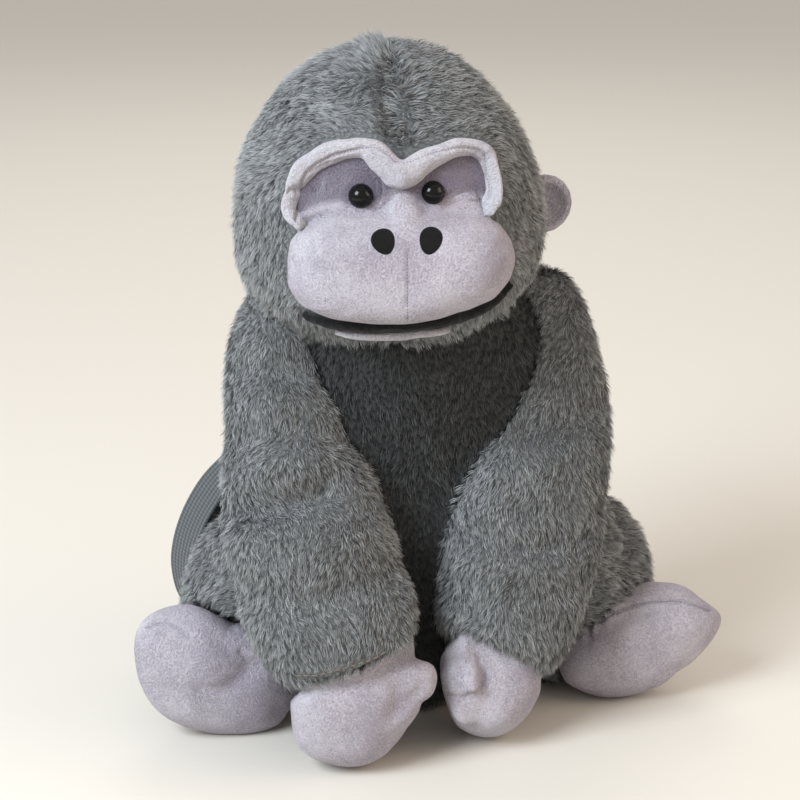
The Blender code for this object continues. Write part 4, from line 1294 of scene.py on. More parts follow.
    def build_mask(self) -> None:
        """Sockets, nose bridge and muzzle, which run into each other under one skin of velour."""
        shop = self.shop
        bm = bmesh.new()
        for node in ("eye_panel", "muzzle"):
            bm.from_mesh(shop.nodes[node].data)
        bmesh.ops.remove_doubles(bm, verts=bm.verts, dist=MERGE)
        self.bridge.add_to(bm, shop.view, surface_of(shop.nodes["eye_panel"], shop.nodes["muzzle"]))
        for socket in self.sockets:
            socket.add_to(bm, shop.view, surface_of(shop.nodes["head"]))
        mask = shop.fuse(new_piece("mask_skin", bm), self.mask_cell, 10)
        shop.ease_along(mask, self.join, 0.0060, 50)
        shop.fit(mask, self.muzzle_edge)
        shop.rumple(mask, 0.0009, 45.0)
        shop.press(mask, self.mask_folds)
        for eye in self.eyes.values():
            beside = (eye.middle[0] + 0.5, eye.middle[1])
            shop.press(mask, (Crease((eye.middle, beside), self.eye_dent, self.eye_dent_width),))
        # Painted shade in the eye sockets: darker above the lid line, under the brow.
        pixels = shop.view.pixels(mesh_points(mask.data))
        line = np.interp(pixels[:, 0], *np.array(self.lid_line).T)
        hollow = smooth_step(line - pixels[:, 1], -2.0, self.lid_fade)
        set_attribute(mask.data, "hollow", hollow)
        self.mask = shop.finish(mask, "velour", Slot.VELOUR, ["eye_panel", "muzzle"], 0.9)
        shop.stitch("muzzle_seam", (self.seam,), mask, "thread", Slot.VELOUR)

    def build_brow(self) -> None:
        """The padded ridge, with the seam that runs along it and the gathers beside it."""
        skin = self.shop.roll("brow_skin", self.brow, "head", self.cell, 6)
        self.shop.rumple(skin, 0.0010, 90.0)
        self.shop.press(skin, (*self.brow_seams, *self.brow_folds))
        # A lighter copy of the mauve velour: painted light, as if the brow caught more light.
        self.shop.finish(skin, "velour_painted_light", Slot.VELOUR, ["brow"], 0.7)
        rows = [StitchRow(seam.path, 0.0016, 0.0013, 0.00022) for seam in self.brow_seams]
        self.shop.stitch("brow_stitches", rows, skin, "mauve_thread", Slot.VELOUR)

    def build_nostril(self, side: str, patch: NostrilPatch, surface: BVHTree) -> None:
        """A raised egg of satin stitch on the muzzle, narrow end down."""
        bm = bmesh.new()
        bmesh.ops.create_circle(bm, cap_ends=True, segments=self.nostril_points, radius=1.0)
        for _ in range(5):
            inner = [face for face in bm.faces if len(face.verts) == self.nostril_points]
            bmesh.ops.inset_region(bm, faces=inner, thickness=0.17, use_boundary=True)
        tilt = Matrix.Rotation(math.radians(patch.tilt), 2)
        for vertex in bm.verts:
            rim = min(math.hypot(vertex.co.x, vertex.co.y), 1.0)
            egg = Vector((vertex.co.x * patch.half[0] * (1 + patch.narrowing * vertex.co.y),
                          -vertex.co.y * patch.half[1]))
            place, normal = self.shop.view.find(Vector(patch.middle) + tilt @ egg, surface)
            vertex.co = place + normal * self.nostril_relief * (1 - 1.3 * rim ** 8)
        bmesh.ops.recalc_face_normals(bm, faces=bm.faces)
        if sum(face.normal.y for face in bm.faces) > 0:
            bmesh.ops.reverse_faces(bm, faces=bm.faces)
        stitched = new_piece(f"nostril_patch_{side}", bm)
        thicken(stitched, self.nostril_thickness)
        settle(stitched)
        self.shop.finish(stitched, "stitch", Slot.BLACK_CLOTH, [f"nostril_{side}"])

    def build_mouth(self) -> None:
        """The black felt mouth and the lip under it, in a lighter copy of the velour: painted light."""
        felt = self.shop.roll("mouth_felt", self.mouth, "head", self.felt_cell, 3)
        self.shop.rumple(felt, 0.0004, 400.0)
        self.shop.finish(felt, "felt", Slot.BLACK_CLOTH, ["mouth"], 0.3)
        skin = self.shop.roll("lip_skin", self.lip, "head", self.cell, 3)
        # The lip wears the lighter copy of the velour: painted light.
        self.shop.finish(skin, "velour_painted_light", Slot.VELOUR, ["lower_lip"], 0.4)

    def build_ears(self) -> None:
        """Small cupped ears with a rolled rim, and painted shade in the cup that leaves the rim pale."""
        for side in SIDES:
            ear = self.shop.skin(f"ear_{side}", f"ear_skin_{side}", self.cell, 5)
            low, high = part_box(f"ear_{side}")
            centre = (low + high) / 2
            points = mesh_points(ear.data)
            move_points(ear.data, points + np.array(self.ear_tuck[side]))
            reach = (high.z - low.z) / 2
            off = np.hypot(points[:, 0] - centre.x, points[:, 2] - centre.z) / reach
            # Painted shade inside the cup, on its forward side, fading out towards the rim.
            cup = (1 - smooth_step(off, 0.60, 0.86)) * (points[:, 1] < centre.y)
            set_attribute(ear.data, "hollow", cup * self.ear_shade)
            self.shop.finish(ear, "velour", Slot.VELOUR, [f"ear_{side}"], 0.5)

    def build_eye(self, side: str, spot: EyeSpot, surface: BVHTree) -> None:
        """A glossy black dome, sunk in the mask."""
        place, normal = self.shop.view.find(spot.middle, surface)
        bm = bmesh.new()
        bmesh.ops.create_uvsphere(bm, u_segments=48, v_segments=24, radius=spot.radius)
        away = (self.shop.view.eye() - place).normalized()
        bmesh.ops.translate(bm, vec=place - away * spot.sunk, verts=bm.verts)
        self.shop.finish(new_piece(f"eye_dome_{side}", bm), "eye", Slot.EYE, [f"eye_{side}"])

    def build(self) -> None:
        """All of the face."""
        self.build_mask()
        surface = surface_of(self.mask)
        for side in SIDES:
            self.build_nostril(side, self.nostrils[side], surface)
            self.build_eye(side, self.eyes[side], surface)
        self.build_brow()
        self.build_mouth()
        self.build_ears()


@dataclass
class Paws:
    """The velour hands and feet, with the folds and seams that show on them."""

    shop: Workshop
    cell: float = 0.0014
    rounds: dict[str, int] = field(default_factory=lambda: {"hand": 14, "foot": 24})
    palm_rounds: int = 34
    lobe_rounds: int = 9
    sole_gap: float = 0.0002
    edges: dict[str, Outline] = field(default_factory=lambda: {
        "hand_right": Outline((360, 708), (
            (290, 694), (291, 712), (294, 732), (298, 746), (312, 757), (330, 763), (346, 767), (362, 766),
            (378, 759), (392, 746), (406, 727), (420, 710), (433, 696), (438, 682), (436, 670), (428, 656),
        )),
        "hand_left": Outline((490, 690), (
            (462, 634), (447, 644), (439, 655), (438, 670), (442, 684), (446, 700), (450, 713), (456, 725),
            (470, 734), (488, 738), (507, 734), (524, 720), (535, 702), (541, 682),
        )),
        "foot_right": Outline((212, 670), (
            (237, 628), (218, 615), (199, 606), (180, 604), (162, 608), (148, 615), (138, 627), (134.5, 641),
            (134.5, 662), (141, 688), (154, 707), (177, 724), (203, 732), (230, 734.5), (252, 734), (271, 730),
            (286, 722),
        )),
        "foot_left": Outline((638, 645), (
            (582, 605), (601, 594), (632, 585), (662, 581), (684, 584.5), (703, 597), (716, 608), (725, 615.5),
            (721, 624), (714, 637), (700, 654.5), (677, 673), (647, 690), (624, 698), (598, 697), (575, 687),
        )),
    })
    wrists: dict[str, Roll] = field(default_factory=lambda: {
        "hand_right": Roll(((322, 664, 26.0), (345, 660, 32.0), (372, 652, 32.0), (398, 644, 26.0)),
                           -0.0290, 0.0190),
        "hand_left": Roll(((463, 634, 26.0), (484, 638, 34.0), (506, 645, 34.0), (522, 654, 28.0)),
                          -0.0290, 0.0200),
    })
    palms: dict[str, Roll] = field(default_factory=lambda: {
        "hand_right": Roll(((362, 692, 58.0), (354, 704, 56.0), (350, 716, 48.0)), -0.0210, 0.0190),
        "hand_left": Roll(((490, 670, 48.0), (491, 684, 47.0), (490, 698, 40.0)), -0.0180, 0.0190),
    })
    lobes: dict[str, Roll] = field(default_factory=lambda: {
        "hand_left": Roll(((461, 644, 24.0), (461, 656, 23.0), (462, 667, 20.0), (465, 678, 15.0),
                           (468, 687, 10.0)), -0.0052, 0.0110),
    })
    folds: dict[str, tuple[Crease, ...]] = field(default_factory=lambda: {
        "hand_right": (
            Crease(((392, 664), (398, 680), (400, 696), (396, 712)), 0.0022, 0.0060),
            Crease(((420, 690), (412, 700), (402, 708)), 0.0016, 0.0040),
            Crease(((330, 700), (345, 712), (362, 716)), 0.0010, 0.0060),
            Crease(((300, 716), (310, 722), (322, 720)), -0.0010, 0.0080),
        ),
        "hand_left": (
            Crease(((446, 693), (455, 699), (465, 700), (475, 695), (482, 685), (486, 674)), 0.0024, 0.0020),
            Crease(((465, 706), (470, 718)), 0.0034, 0.0080),
            Crease(((467, 642), (465, 653), (464, 663)), -0.0014, 0.0016),
            Crease(((463, 665), (462, 677)), 0.0026, 0.0013),
            Crease(((454, 676), (457, 684), (462, 689)), 0.0010, 0.0018),
        ),
        "foot_right": (
            Crease(((149, 627), (158, 623), (170, 623), (181, 628), (190, 636)), 0.0022, 0.0013),
            Crease(((203, 690), (222, 692), (242, 679), (255, 666)), 0.0026, 0.0060),
            Crease(((242, 652), (250, 660), (262, 664)), 0.0022, 0.0024),
            Crease(((215, 640), (230, 652), (246, 670)), 0.0014, 0.0050),
            Crease(((222, 668), (238, 672), (252, 668)), 0.0012, 0.0026),
            Crease(((160, 655), (175, 672), (195, 688)), -0.0016, 0.0120),
        ),
        "foot_left": (
            Crease(((586, 612), (598, 621), (609, 614), (632, 605), (654, 601), (677, 601), (696, 605),
                    (711, 611), (721, 616)), 0.0024, 0.0012),
            Crease(((586, 612), (590, 622), (588, 634)), 0.0026, 0.0020),
            Crease(((602, 622), (595, 632), (588, 642)), 0.0010, 0.0026),
            Crease(((592, 604), (600, 612), (611, 612)), 0.0018, 0.0016),
            Crease(((604, 632), (620, 622), (644, 618)), 0.0012, 0.0050),
            Crease(((690, 590), (702, 597), (712, 606)), 0.0024, 0.0050),
            Crease(((620, 650), (650, 636), (685, 628)), -0.0016, 0.0120),
        ),
    })
    seams: dict[str, tuple[StitchRow, ...]] = field(default_factory=lambda: {
        "foot_right": (StitchRow(((149, 627), (158, 623), (170, 623), (181, 628), (190, 636))),),
        "foot_left": (
            StitchRow(((598, 621), (609, 614), (632, 605), (654, 601), (677, 601), (696, 605), (711, 611),
                       (720, 616))),
        ),
    })

    def build(self) -> None:
        """Both hands and both feet."""
        shop = self.shop
        for side in SIDES:
            for part, rounds in self.rounds.items():
                node = f"{part}_{side}"
                skin = shop.skin(node, f"{node}_skin", self.cell, rounds)
                if part == "hand":
                    wrist = (self.wrists[node], shop.nodes[f"arm_{side}"])
                    palm = (self.palms[node], shop.nodes[node])
                    skin = shop.pad_out(skin, (wrist, palm), self.cell, self.palm_rounds)
                if node in self.lobes:
                    skin = shop.pad_out(skin, ((self.lobes[node], skin),), self.cell, self.lobe_rounds)
                shop.fit(skin, self.edges[node])
                shop.rumple(skin, 0.0012, 38.0, rounds)
                shop.press(skin, self.folds[node])
                self.rest_on_floor(skin)
                shop.finish(skin, "velour", Slot.VELOUR, [node], 0.85)
                if node in self.seams:
                    shop.stitch(f"{node}_stitches", self.seams[node], skin, "mauve_thread", Slot.VELOUR)

    def rest_on_floor(self, skin: Object) -> None:
        """Keep a skin flat where it rests."""
        points = mesh_points(skin.data)
        points[:, 2] = np.maximum(points[:, 2], self.sole_gap)
        move_points(skin.data, points)


@dataclass
class PlushForms:
    """The grey plush pieces: head, body, arms and legs, each a skin under a coat of pile."""

    shop: Workshop
    furrier: Furrier
    cell: float = 0.0036
    inset: float = 0.0042
    seam: float = -0.0190
    skin_gap: float = 0.0024
    cloth_gap: float = 0.0018
    mask_gap: float = 0.0070
    belly_gap: float = 0.006
    back: float = 0.03
    seed: int = 11
    chest_coat: Coat = Coat(spacing=0.0021, whirl=30.0)
    limb_lie: dict[str, tuple[float, float, float]] = field(default_factory=lambda: {
        "arm_right": (0.05, -0.30, -0.95),
        "arm_left": (-0.15, -0.25, -0.95),
        "leg_right": (-0.75, -0.35, -0.45),
        "leg_left": (0.75, -0.35, -0.45),
    })
    folds: dict[str, tuple[Crease, ...]] = field(default_factory=lambda: {
        "arm_right": (
            Crease(((214, 505), (232, 513), (262, 510), (300, 498), (325, 490)), 0.0080, 0.0085),
            Crease(((214, 436), (240, 440), (280, 430)), 0.0050, 0.0085),
            Crease(((226, 350), (250, 366), (285, 372)), 0.0040, 0.0080),
            Crease(((236, 588), (280, 604), (330, 596), (390, 570)), 0.0055, 0.0110),
            Crease(((300, 420), (330, 436), (352, 446)), 0.0040, 0.0070),
            Crease(((245, 540), (290, 548), (340, 540)), -0.0030, 0.0120),
            Crease(((225, 470), (262, 474), (310, 462)), -0.0030, 0.0090),
        ),
        "arm_left": (
            Crease(((596, 404), (566, 420), (530, 426)), 0.0055, 0.0080),
            Crease(((604, 500), (560, 514), (520, 508)), 0.0045, 0.0090),
            Crease(((470, 536), (512, 548), (548, 544), (592, 532)), 0.0060, 0.0080),
            Crease(((470, 580), (474, 610), (476, 640)), 0.0050, 0.0060),
            Crease(((520, 585), (555, 592), (582, 582)), 0.0035, 0.0075),
            Crease(((500, 470), (540, 462), (590, 450)), -0.0030, 0.0100),
        ),
        "leg_right": (
            Crease(((190, 548), (205, 556), (214, 566)), 0.0060, 0.0060),
            Crease(((196, 590), (206, 580), (216, 578)), 0.0050, 0.0060),
        ),
        "leg_left": (
            Crease(((618, 520), (628, 536), (626, 556)), 0.0070, 0.0060),
            Crease(((610, 562), (626, 572), (640, 568)), 0.0060, 0.0060),
        ),
        "head": (
            Crease(((388, 30), (389, 70), (391, 110), (393, 140)), 0.0035, 0.0040),
            Crease(((262, 240), (268, 262), (284, 284)), 0.0020, 0.0090),
        ),
    })
    cuffs: dict[str, Outline] = field(default_factory=lambda: {
        "arm_right": Outline((325, 590), (
            (233, 575), (238, 600), (247, 630), (260, 656), (278, 677), (305, 682), (330, 677), (355, 669),
            (385, 655), (408, 643), (414, 626), (411, 600), (407, 580),
        )),
        "arm_left": Outline((512, 570), (
            (600, 540), (592, 570), (582, 600), (572, 628), (560, 655), (549, 670), (538, 667), (520, 657),
            (500, 646), (480, 637), (460, 632), (443, 634), (438, 610), (441, 580), (443, 556),
        )),
    })
    thread: StitchRow = StitchRow(
        ((298, 672), (316, 672), (332, 669), (347, 665), (366, 659), (381, 652)),
        0.0042, 0.0044, 0.00034, 0.0036,
    )

    def skins(self, cloth: BVHTree) -> dict[str, Object]:
        """The skins of all the grey pieces, creased but still bare.

        Each lies a pile's height inside its solid, except where it meets its neighbours, and the head's under
        the face.

        Args:
            cloth: The velour's surface.

        Returns:
            The skins by node.
        """
        grey = ("head", "body", "arm_right", "arm_left", "leg_right", "leg_left")
        made = {}
        for node in grey:
            skin = self.shop.skin(node, f"{node}_skin", self.cell, 4)
            others = surface_of(*(self.shop.nodes[other] for other in grey if other != node))
            mesh = skin.data
            share = blur(mesh, self.furrier.open_share(skin, others, 0.0035), 3)
            if node == "head":
                share *= smooth_step(self.furrier.distance(skin, cloth, 0.014), 0.003, 0.014)
            move_points(mesh, mesh_points(mesh) - mesh_normals(mesh) * (self.inset * share)[:, None])
            if node in self.cuffs:
                self.shop.fit(skin, self.cuffs[node])
            self.shop.rumple(skin, 0.0020, 24.0)
            self.shop.press(skin, self.folds.get(node, ()))
            made[node] = skin
        return made

    def head_flow(self, points: Points, normals: Points) -> Points:
        """Away from the middle seam on the crown, and down the cheeks."""
        side = np.where(points[:, 0] > self.seam, 1.0, -1.0)
        crown = smooth_step(points[:, 2], 0.300, 0.380)
        return np.stack([side * (0.25 + 0.9 * crown), 0.15 + 0.2 * crown, 0.35 * crown - 1.0], axis=1)

    def body_flow(self, points: Points, normals: Points) -> Points:
        """Down, and a little outwards."""
        return np.stack([points[:, 0] * 3.0, np.zeros(len(points)), -np.ones(len(points))], axis=1)

    def limb_flow(self, node: str) -> Flow:
        """Along the limb, towards its end."""
        lie = np.array(self.limb_lie[node])

        def flow(points: Points, normals: Points) -> Points:
            """The same way all over the limb."""
            return np.tile(lie, (len(points), 1))

        return flow

    def ruffle(self, points: Points) -> Points:
        """How far the crown's pile stands up in a ridge beside the middle seam, from 0 to 1."""
        aside = points[:, 0] - self.seam
        ridge = np.exp(-(((aside + 0.005) / 0.007) ** 2)) * smooth_step(points[:, 2], 0.345, 0.36)
        return ridge * (points[:, 1] < 0.0)

    def beside_zip(self, points: Points) -> Points:
        """Which points are off the zip's tape."""
        low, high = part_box("zip_tape")
        beside = (points[:, 0] < low.x) | (points[:, 0] > high.x) | (points[:, 1] < self.back)
        return beside | (points[:, 2] > high.z) | (points[:, 2] < low.z)

    def dress(self, skin: Object, node: str, coat: Coat, flow: Flow, cover: Points, pile: Points,
              stand: Points, index: int) -> None:
        """Finish a skin and grow its coat. The body's coat stands a little sparser, and its backing and pile
        are much darker: painted shade on the chest, which on the pile fades into the common grey behind it.
        """
        chest = node == "body"
        self.shop.finish(skin, "backing_shaded_chest" if chest else "backing", Slot.FUR, [node], 0.8)
        finish = "pile_chest" if chest else "pile"
        self.furrier.grow(skin, coat, flow, cover, pile, stand, self.seed + index, finish)

    def build(self, velour: Sequence[Object]) -> None:
        """All the skins and their coats.

        Args:
            velour: The pieces that keep the pile off where they lie.
        """
        cloth = surface_of(*velour)
        skins = self.skins(cloth)
        for index, (node, skin) in enumerate(skins.items()):
            others = surface_of(*(other for other in skins.values() if other is not skin))
            open_share = self.furrier.open_share
            cover = open_share(skin, others, self.skin_gap) * open_share(skin, cloth, self.cloth_gap)
            points = mesh_points(skin.data)
            pile, stand = np.ones(len(points)), np.zeros(len(points))
            if node == "head":
                mask = surface_of(*(piece for piece in velour if piece.name == "mask_skin"))
                cover *= open_share(skin, mask, self.mask_gap)
                pile = 0.45 + 0.55 * smooth_step(self.furrier.distance(skin, cloth, 0.013), 0.002, 0.013)
            pile *= 0.70 + 0.30 * blur(skin.data, cover, 3)
            if node == "arm_right":
                line = self.shop.view.trace(self.thread.path, surface_of(skin))
                pile *= 1 - 0.72 * np.exp(-((path_distance(points, line) / 0.0026) ** 2))
            if node == "head":
                ruffle = self.ruffle(points)
                pile += 0.45 * ruffle
                stand += 0.7 * ruffle
                self.dress(skin, node, Coat(), self.head_flow, cover, pile, stand, index)
            elif node == "body":
                cover *= self.beside_zip(points)
                cover *= points[:, 2] > self.belly_gap
                self.dress(skin, node, self.chest_coat, self.body_flow, cover, pile, stand, index)
            else:
                self.dress(skin, node, Coat(), self.limb_flow(node), cover, pile, stand, index)
        self.shop.stitch("cuff_thread", (self.thread,), skins["arm_right"], "brown_thread", Slot.FUR)
        self.furrier.clear_up()


@dataclass(frozen=True)
class StrapRow:
    """A place on a strap's run: out, back and up as shares, and its turn."""

    out: float
    back: float
    height: float
    turned: float

    def values(self) -> tuple[float, ...]:
        """The row's four numbers."""
        return self.out, self.back, self.height, self.turned


@dataclass
class Straps:
    """Both shoulder straps of ribbed webbing, and the slides that their runs meet in."""

    shop: Workshop
    width: float = 0.025
    thickness: float = 0.0018
    bow: float = 0.132
    back: float = 0.060
    top: float = 0.228
    turn: float = math.radians(116.0)
    columns: int = 16
    slide_thickness: float = 0.0040
    slide_rounding: float = 0.0010
    slide_wide: tuple[float, ...] = (-0.0155, -0.0130, 0.0130, 0.0155)
    slide_high: tuple[float, ...] = (-0.0080, -0.0056, -0.0015, 0.0015, 0.0056, 0.0080)
    runs: dict[str, tuple[StrapRow, ...]] = field(default_factory=lambda: {
        "upper": (
            StrapRow(0.200, 0.867, 1.000, 0.00), StrapRow(0.290, 1.050, 0.985, 0.00),
            StrapRow(0.400, 1.250, 0.935, 0.00), StrapRow(0.530, 1.250, 0.860, 0.08),
            StrapRow(0.630, 1.167, 0.780, 0.25), StrapRow(0.690, 1.067, 0.710, 0.48),
            StrapRow(0.730, 1.000, 0.620, 0.80),
        ),
        "lower": (
            StrapRow(0.730, 1.000, 0.620, 0.80), StrapRow(0.785, 1.000, 0.575, 0.94),
            StrapRow(0.860, 1.000, 0.522, 1.00), StrapRow(0.935, 1.000, 0.450, 1.00),
            StrapRow(0.985, 1.000, 0.370, 1.00), StrapRow(1.000, 1.000, 0.290, 1.00),
            StrapRow(0.965, 1.000, 0.205, 1.00), StrapRow(0.870, 1.017, 0.130, 0.90),
            StrapRow(0.730, 1.033, 0.092, 0.62), StrapRow(0.580, 1.017, 0.084, 0.30),
            StrapRow(0.440, 0.917, 0.088, 0.10), StrapRow(0.340, 0.767, 0.092, 0.00),
        ),
        "tail": (
            StrapRow(0.700, 0.983, 0.610, 0.80), StrapRow(0.735, 0.983, 0.570, 0.94),
            StrapRow(0.815, 0.983, 0.500, 1.00), StrapRow(0.865, 0.983, 0.450, 1.00),
            StrapRow(0.885, 0.983, 0.400, 1.00), StrapRow(0.880, 0.983, 0.310, 1.00),
            StrapRow(0.850, 0.983, 0.230, 1.00),
        ),
    })

    def line(self, run: str, sign: float, steps: int) -> tuple[list[Vector], list[float]]:
        """A run's middle line and its turn, smoothed through its rows."""
        rows = [row.values() for row in self.runs[run]]
        points, turns = [], []
        for first in range(len(rows) - 1):
            near = rows_near(rows, first)
            for step in range(steps + (first == len(rows) - 2)):
                out, back, height, turned = curve_at(near, step / steps)
                points.append(Vector((sign * out * self.bow, back * self.back, height * self.top)))
                turns.append(sign * turned * self.turn)
        return points, turns

    @staticmethod
    def axes(points: list[Vector], index: int, turn: float) -> tuple[Vector, Vector, Vector]:
        """The directions along, across and out of a band at one of its points."""
        ahead = (points[min(index + 1, len(points) - 1)] - points[max(index - 1, 0)]).normalized()
        across = ahead.cross(Vector((0, 1, 0))).normalized()
        across.rotate(Matrix.Rotation(turn, 3, ahead))
        return ahead, across, across.cross(ahead).normalized()

    def build_run(self, run: str, side: str, sign: float) -> None:
        """One run of webbing: a grid bent along its line, with a thicker selvage."""
        points, turns = self.line(run, sign, 8)
        rows = len(points) - 1
        bm = bmesh.new()
        bmesh.ops.create_grid(bm, x_segments=self.columns, y_segments=rows, size=0.5)
        band = bm.loops.layers.uv.new("band")
        spots = {vertex: (vertex.co.x + 0.5, round((vertex.co.y + 0.5) * rows)) for vertex in bm.verts}
        lengths = np.cumsum([0.0] + [(b - a).length for a, b in zip(points, points[1:])])
        for face in bm.faces:
            for loop in face.loops:
                share, row = spots[loop.vert]
                loop[band].uv = (share, lengths[row])
        for vertex, (share, row) in spots.items():
            _, across, face = self.axes(points, row, turns[row])
            edge = max(abs(share - 0.5) - 0.44, 0.0) / 0.06
            swell = self.thickness * 0.5 * (0.25 * edge)
            vertex.co = points[row] + across * ((share - 0.5) * self.width) + face * swell
        webbing = new_piece(f"webbing_{run}_{side}", bm)
        thicken(webbing, self.thickness, 0.0)
        settle(webbing)
        self.shop.finish(webbing, "webbing", Slot.WEBBING, [f"strap_{run}_{side}"])

    def build_slide(self, side: str, sign: float) -> None:
        """A three-bar slide: a rounded frame with two slots."""
        upper, turns = self.line("upper", sign, 2)
        lower, _ = self.line("lower", sign, 2)
        down, across, face = self.axes([upper[-2], upper[-1], lower[1]], 1, turns[-1])
        bm = bmesh.new()
        wide, high = len(self.slide_wide) - 1, len(self.slide_high) - 1
        bmesh.ops.create_grid(bm, x_segments=wide, y_segments=high, size=0.5)
        for vertex in bm.verts:
            column, row = round((vertex.co.x + 0.5) * wide), round((vertex.co.y + 0.5) * high)
            vertex.co = Vector((self.slide_wide[column], 0.0, self.slide_high[row]))
        middles = {cell: cell.calc_center_median() for cell in bm.faces}
        reach, (near, far) = self.slide_wide[2], self.slide_high[3:5]
        windows = [cell for cell, spot in middles.items() if abs(spot.x) < reach and near < abs(spot.z) < far]
        bmesh.ops.delete(bm, geom=windows, context="FACES")
        frame = Matrix((across, face, -down)).transposed().to_4x4()
        bmesh.ops.transform(bm, matrix=Matrix.Translation(upper[-1]) @ frame, verts=bm.verts)
        slide = new_piece(f"slide_{side}", bm)
        thicken(slide, self.slide_thickness, 0.0)
        round_edges(slide, self.slide_rounding)
        settle(slide)
        self.shop.finish(slide, "buckle", Slot.BUCKLE, [f"adjuster_{side}"])

    def build(self) -> None:
        """Both straps."""
        for side, sign in SIDES.items():
            for run in self.runs:
                self.build_run(run, side, sign)
            self.build_slide(side, sign)


@dataclass
class Zip:
    """The closed zip in the back's slot: woven tape, meshed coil, slider and pull."""

    shop: Workshop
    pitch: float = 0.0016
    coil_half: float = 0.0021
    coil_sunk: float = 0.0006
    tape_rows: int = 40
    tape_thickness: float = 0.0012
    rounding: float = 0.0005

    def build_tape(self) -> None:
        """The tape, a grid laid on its CAD band."""
        low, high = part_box("zip_tape")
        bm = bmesh.new()
        bmesh.ops.create_grid(bm, x_segments=8, y_segments=self.tape_rows, size=0.5)
        band = bm.loops.layers.uv.new("band")
        for face in bm.faces:
            for loop in face.loops:
                loop[band].uv = (loop.vert.co.x + 0.5, (loop.vert.co.y + 0.5) * (high.z - low.z))
        surface = surface_of(self.shop.nodes["zip_tape"])
        for vertex in bm.verts:
            height = low.z + (high.z - low.z) * min(max(vertex.co.y + 0.5, 0.002), 0.998)
            x = vertex.co.x * (high.x - low.x) * 0.98
            vertex.co = surface.ray_cast(Vector((x, BEHIND, height)), INWARD)[0]
        tape = new_piece("zip_cloth", bm)
        thicken(tape, self.tape_thickness)
        settle(tape)
        self.shop.finish(tape, "tape", Slot.ZIP_TAPE, ["zip_tape"])

    def build_coil(self) -> None:
        """The coil's loops, alternate from each side, joined in one mesh."""
        low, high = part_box("zip_coil")
        surface = surface_of(self.shop.nodes["zip_coil"])
        count = int((high.z - low.z) / self.pitch)
        bm = bmesh.new()
        for index in range(count):
            height = low.z + self.pitch * (index + 0.5)
            side = 1 if index % 2 else -1
            spot = surface.ray_cast(Vector((0.0, BEHIND, height)), INWARD)[0]
            if spot is None:
                continue
            made = bmesh.ops.create_cone(bm, cap_ends=True, segments=8, radius1=self.pitch * 0.48,
                                         radius2=self.pitch * 0.40, depth=self.coil_half * 1.5)["verts"]
            turn = Matrix.Rotation(side * math.pi / 2, 4, "Y")
            place = Matrix.Translation(spot + Vector((side * self.coil_half * 0.55, -self.coil_sunk, 0.0)))
            bmesh.ops.transform(bm, matrix=place @ turn, verts=made)
        coil = new_piece("zip_teeth", bm)
        self.shop.finish(coil, "coil", Slot.ZIP_COIL, ["zip_coil"])

    def build_slider(self) -> None:
        """The slider's shell and the pull that hangs from it."""
        shapes = (("zip_slider", "zip_slider_shell", 0.62), ("zip_pull", "zip_pull_tab", 1.0))
        for node, name, pinch in shapes:
            piece = self.shop.node_copy(node, name)
            low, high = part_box(node)
            points = mesh_points(piece.data)
            share = (points[:, 2] - low.z) / (high.z - low.z)
            points[:, 0] *= pinch + (1 - pinch) * share
            move_points(piece.data, points)
            round_edges(piece, self.rounding)
            settle(piece)
            piece.data.shade_smooth()
            self.shop.finish(piece, "metal", Slot.ZIP_COIL, [node])

    def build(self) -> None:
        """All of the zip."""
        self.build_tape()
        self.build_coil()
        self.build_slider()


@dataclass(frozen=True)
class Lamp:
    """A soft square light: where it stands, its width, its power in watts and its colour."""

    name: str
    place: tuple[float, float, float]
    size: float
    power: float
    colour: Colour


@dataclass
class Studio:
    """A pale floor, a pale surround and soft lights."""

    floor_size: float = 12.0
    surround: Colour = (0.93, 0.90, 0.86)
    strength: float = 0.67
    aim: tuple[float, float, float] = (0.0, 0.0, 0.20)
    lamps: tuple[Lamp, ...] = (
        Lamp("window", (-1.5, -0.95, 1.45), 1.0, 62.0, (0.83, 0.92, 1.0)),
        Lamp("room", (1.6, -0.9, 1.1), 1.2, 15.0, (1.0, 0.80, 0.62)),
        Lamp("back", (0.3, 1.6, 1.5), 1.2, 8.0, (1.0, 0.97, 0.93)),
    )

    def build_floor(self) -> None:
        """The floor that the toy sits on."""
        bm = bmesh.new()
        bmesh.ops.create_grid(bm, x_segments=1, y_segments=1, size=self.floor_size / 2)
        floor = new_piece("floor", bm)
        floor.data.materials.append(FloorFinish().make())

    def add_light(self, lamp: Lamp) -> None:
        """Set up a lamp that faces the toy's middle."""
        data = bpy.data.lights.new(lamp.name, "AREA")
        data.size = lamp.size
        data.energy = lamp.power
        data.color = lamp.colour
        light = bpy.data.objects.new(lamp.name, data)
        light.location = lamp.place
        ahead = Vector(self.aim) - Vector(lamp.place)
        light.rotation_euler = ahead.to_track_quat("-Z", "Y").to_euler()
        bpy.context.scene.collection.objects.link(light)

    def build(self) -> None:
        """The floor, the surround and the lights."""
        self.build_floor()
        world = bpy.data.worlds.new("pale_room")
        world.use_nodes = True
        sky = world.node_tree.nodes["Background"].inputs
        sky["Color"].default_value = (*self.surround, 1.0)
        sky["Strength"].default_value = self.strength
        bpy.context.scene.world = world
        for lamp in self.lamps:
            self.add_light(lamp)
        bpy.context.scene.view_settings.view_transform = "Standard"


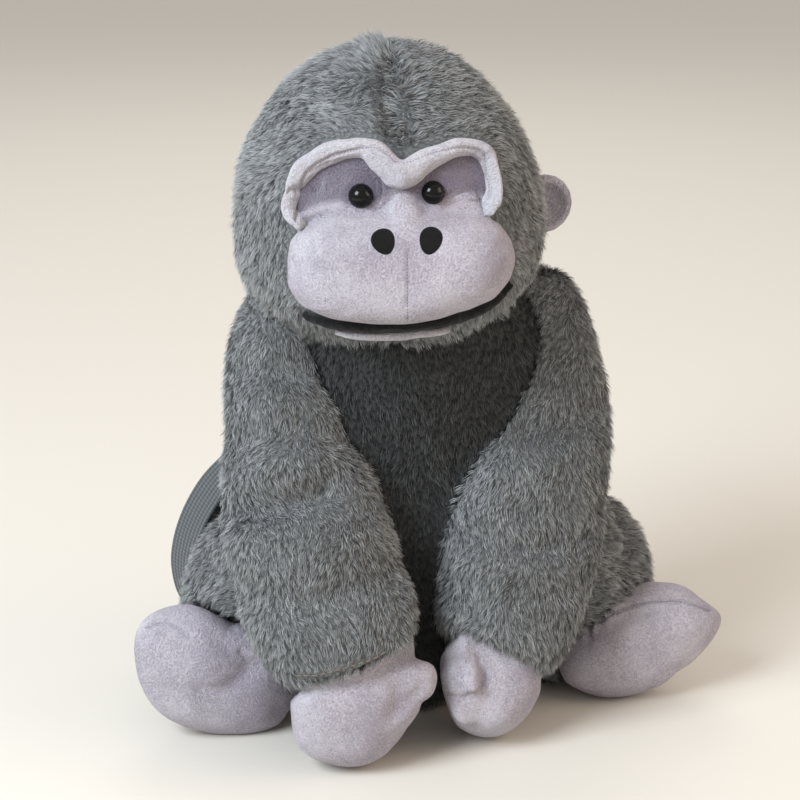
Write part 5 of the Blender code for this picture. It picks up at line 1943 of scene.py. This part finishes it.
def make_finishes() -> dict[str, Material]:
    """Every finish, by name."""
    # Deepest painted shade of the velour, in the eye sockets and the ears' cups.
    hollow = (0.140, 0.108, 0.165)
    finishes = {
        "pile": PileFinish("grey_pile", *GREY_PILE),
        # Darker copies for the body, painted shade on the chest: its pile here, and its backing below the
        # common one.
        "pile_chest": PileFinish("grey_pile_short", *SHADED_CHEST_PILE, fades=0.02),
        # The backing's dark colours are painted shade under the pile.
        "backing": BackingFinish("plush_backing", (0.075, 0.078, 0.080), (0.190, 0.195, 0.198)),
        "backing_shaded_chest": BackingFinish("short_backing", (0.020, 0.021, 0.022), (0.070, 0.072, 0.073)),
        "thread": GlossFinish("dark_thread", (0.150, 0.125, 0.160), 0.8),
        "brown_thread": GlossFinish("brown_thread", (0.180, 0.130, 0.095), 0.8),
        "mauve_thread": GlossFinish("mauve_thread", (0.300, 0.250, 0.320), 0.8),
        "velour": VelourFinish("mauve_velour", (0.860, 0.795, 0.890), (0.490, 0.420, 0.520), hollow),
        # A lighter copy of the mauve velour, painted light on the brow and lip.
        "velour_painted_light": VelourFinish("pale_velour", (0.950, 0.920, 0.970), (0.690, 0.630, 0.720), hollow),
        "felt": FeltFinish(),
        "stitch": StitchFinish(),
        "eye": GlossFinish("eye_gloss", (0.003, 0.003, 0.003), 0.06, shine=0.25),
        "webbing": WovenFinish("grey_webbing", (0.125, 0.135, 0.142), (0.060, 0.065, 0.069), 15.0, 900.0),
        "tape": WovenFinish("zip_tape_cloth", (0.095, 0.100, 0.104), (0.035, 0.037, 0.039), 8.0, 900.0),
        "buckle": GlossFinish("buckle_black", (0.022, 0.022, 0.024), 0.38),
        "coil": GlossFinish("coil_grey", (0.045, 0.047, 0.050), 0.40),
        "metal": GlossFinish("slider_dark", (0.060, 0.061, 0.064), 0.32, 0.3),
    }
    return {name: finish.make() for name, finish in finishes.items()}


def main() -> None:
    """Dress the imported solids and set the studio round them."""
    logging.basicConfig(level=logging.INFO, format="%(message)s")
    noise.seed_set(NOISE_SEED)
    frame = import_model()
    shop = Workshop(frame["nodes"], PhotoView(), make_finishes())
    shop.view.set_camera()
    Studio().build()
    Face(shop).build()
    Paws(shop).build()
    velour = [piece for piece in shop.made if not piece.name.startswith(("nostril", "eye_dome"))]
    Straps(shop).build()
    Zip(shop).build()
    PlushForms(shop, Furrier(shop)).build(velour)
    LOG.info("all pieces: %d triangles", sum(triangles(piece) for piece in shop.made))


if __name__ == "__main__":
    main()
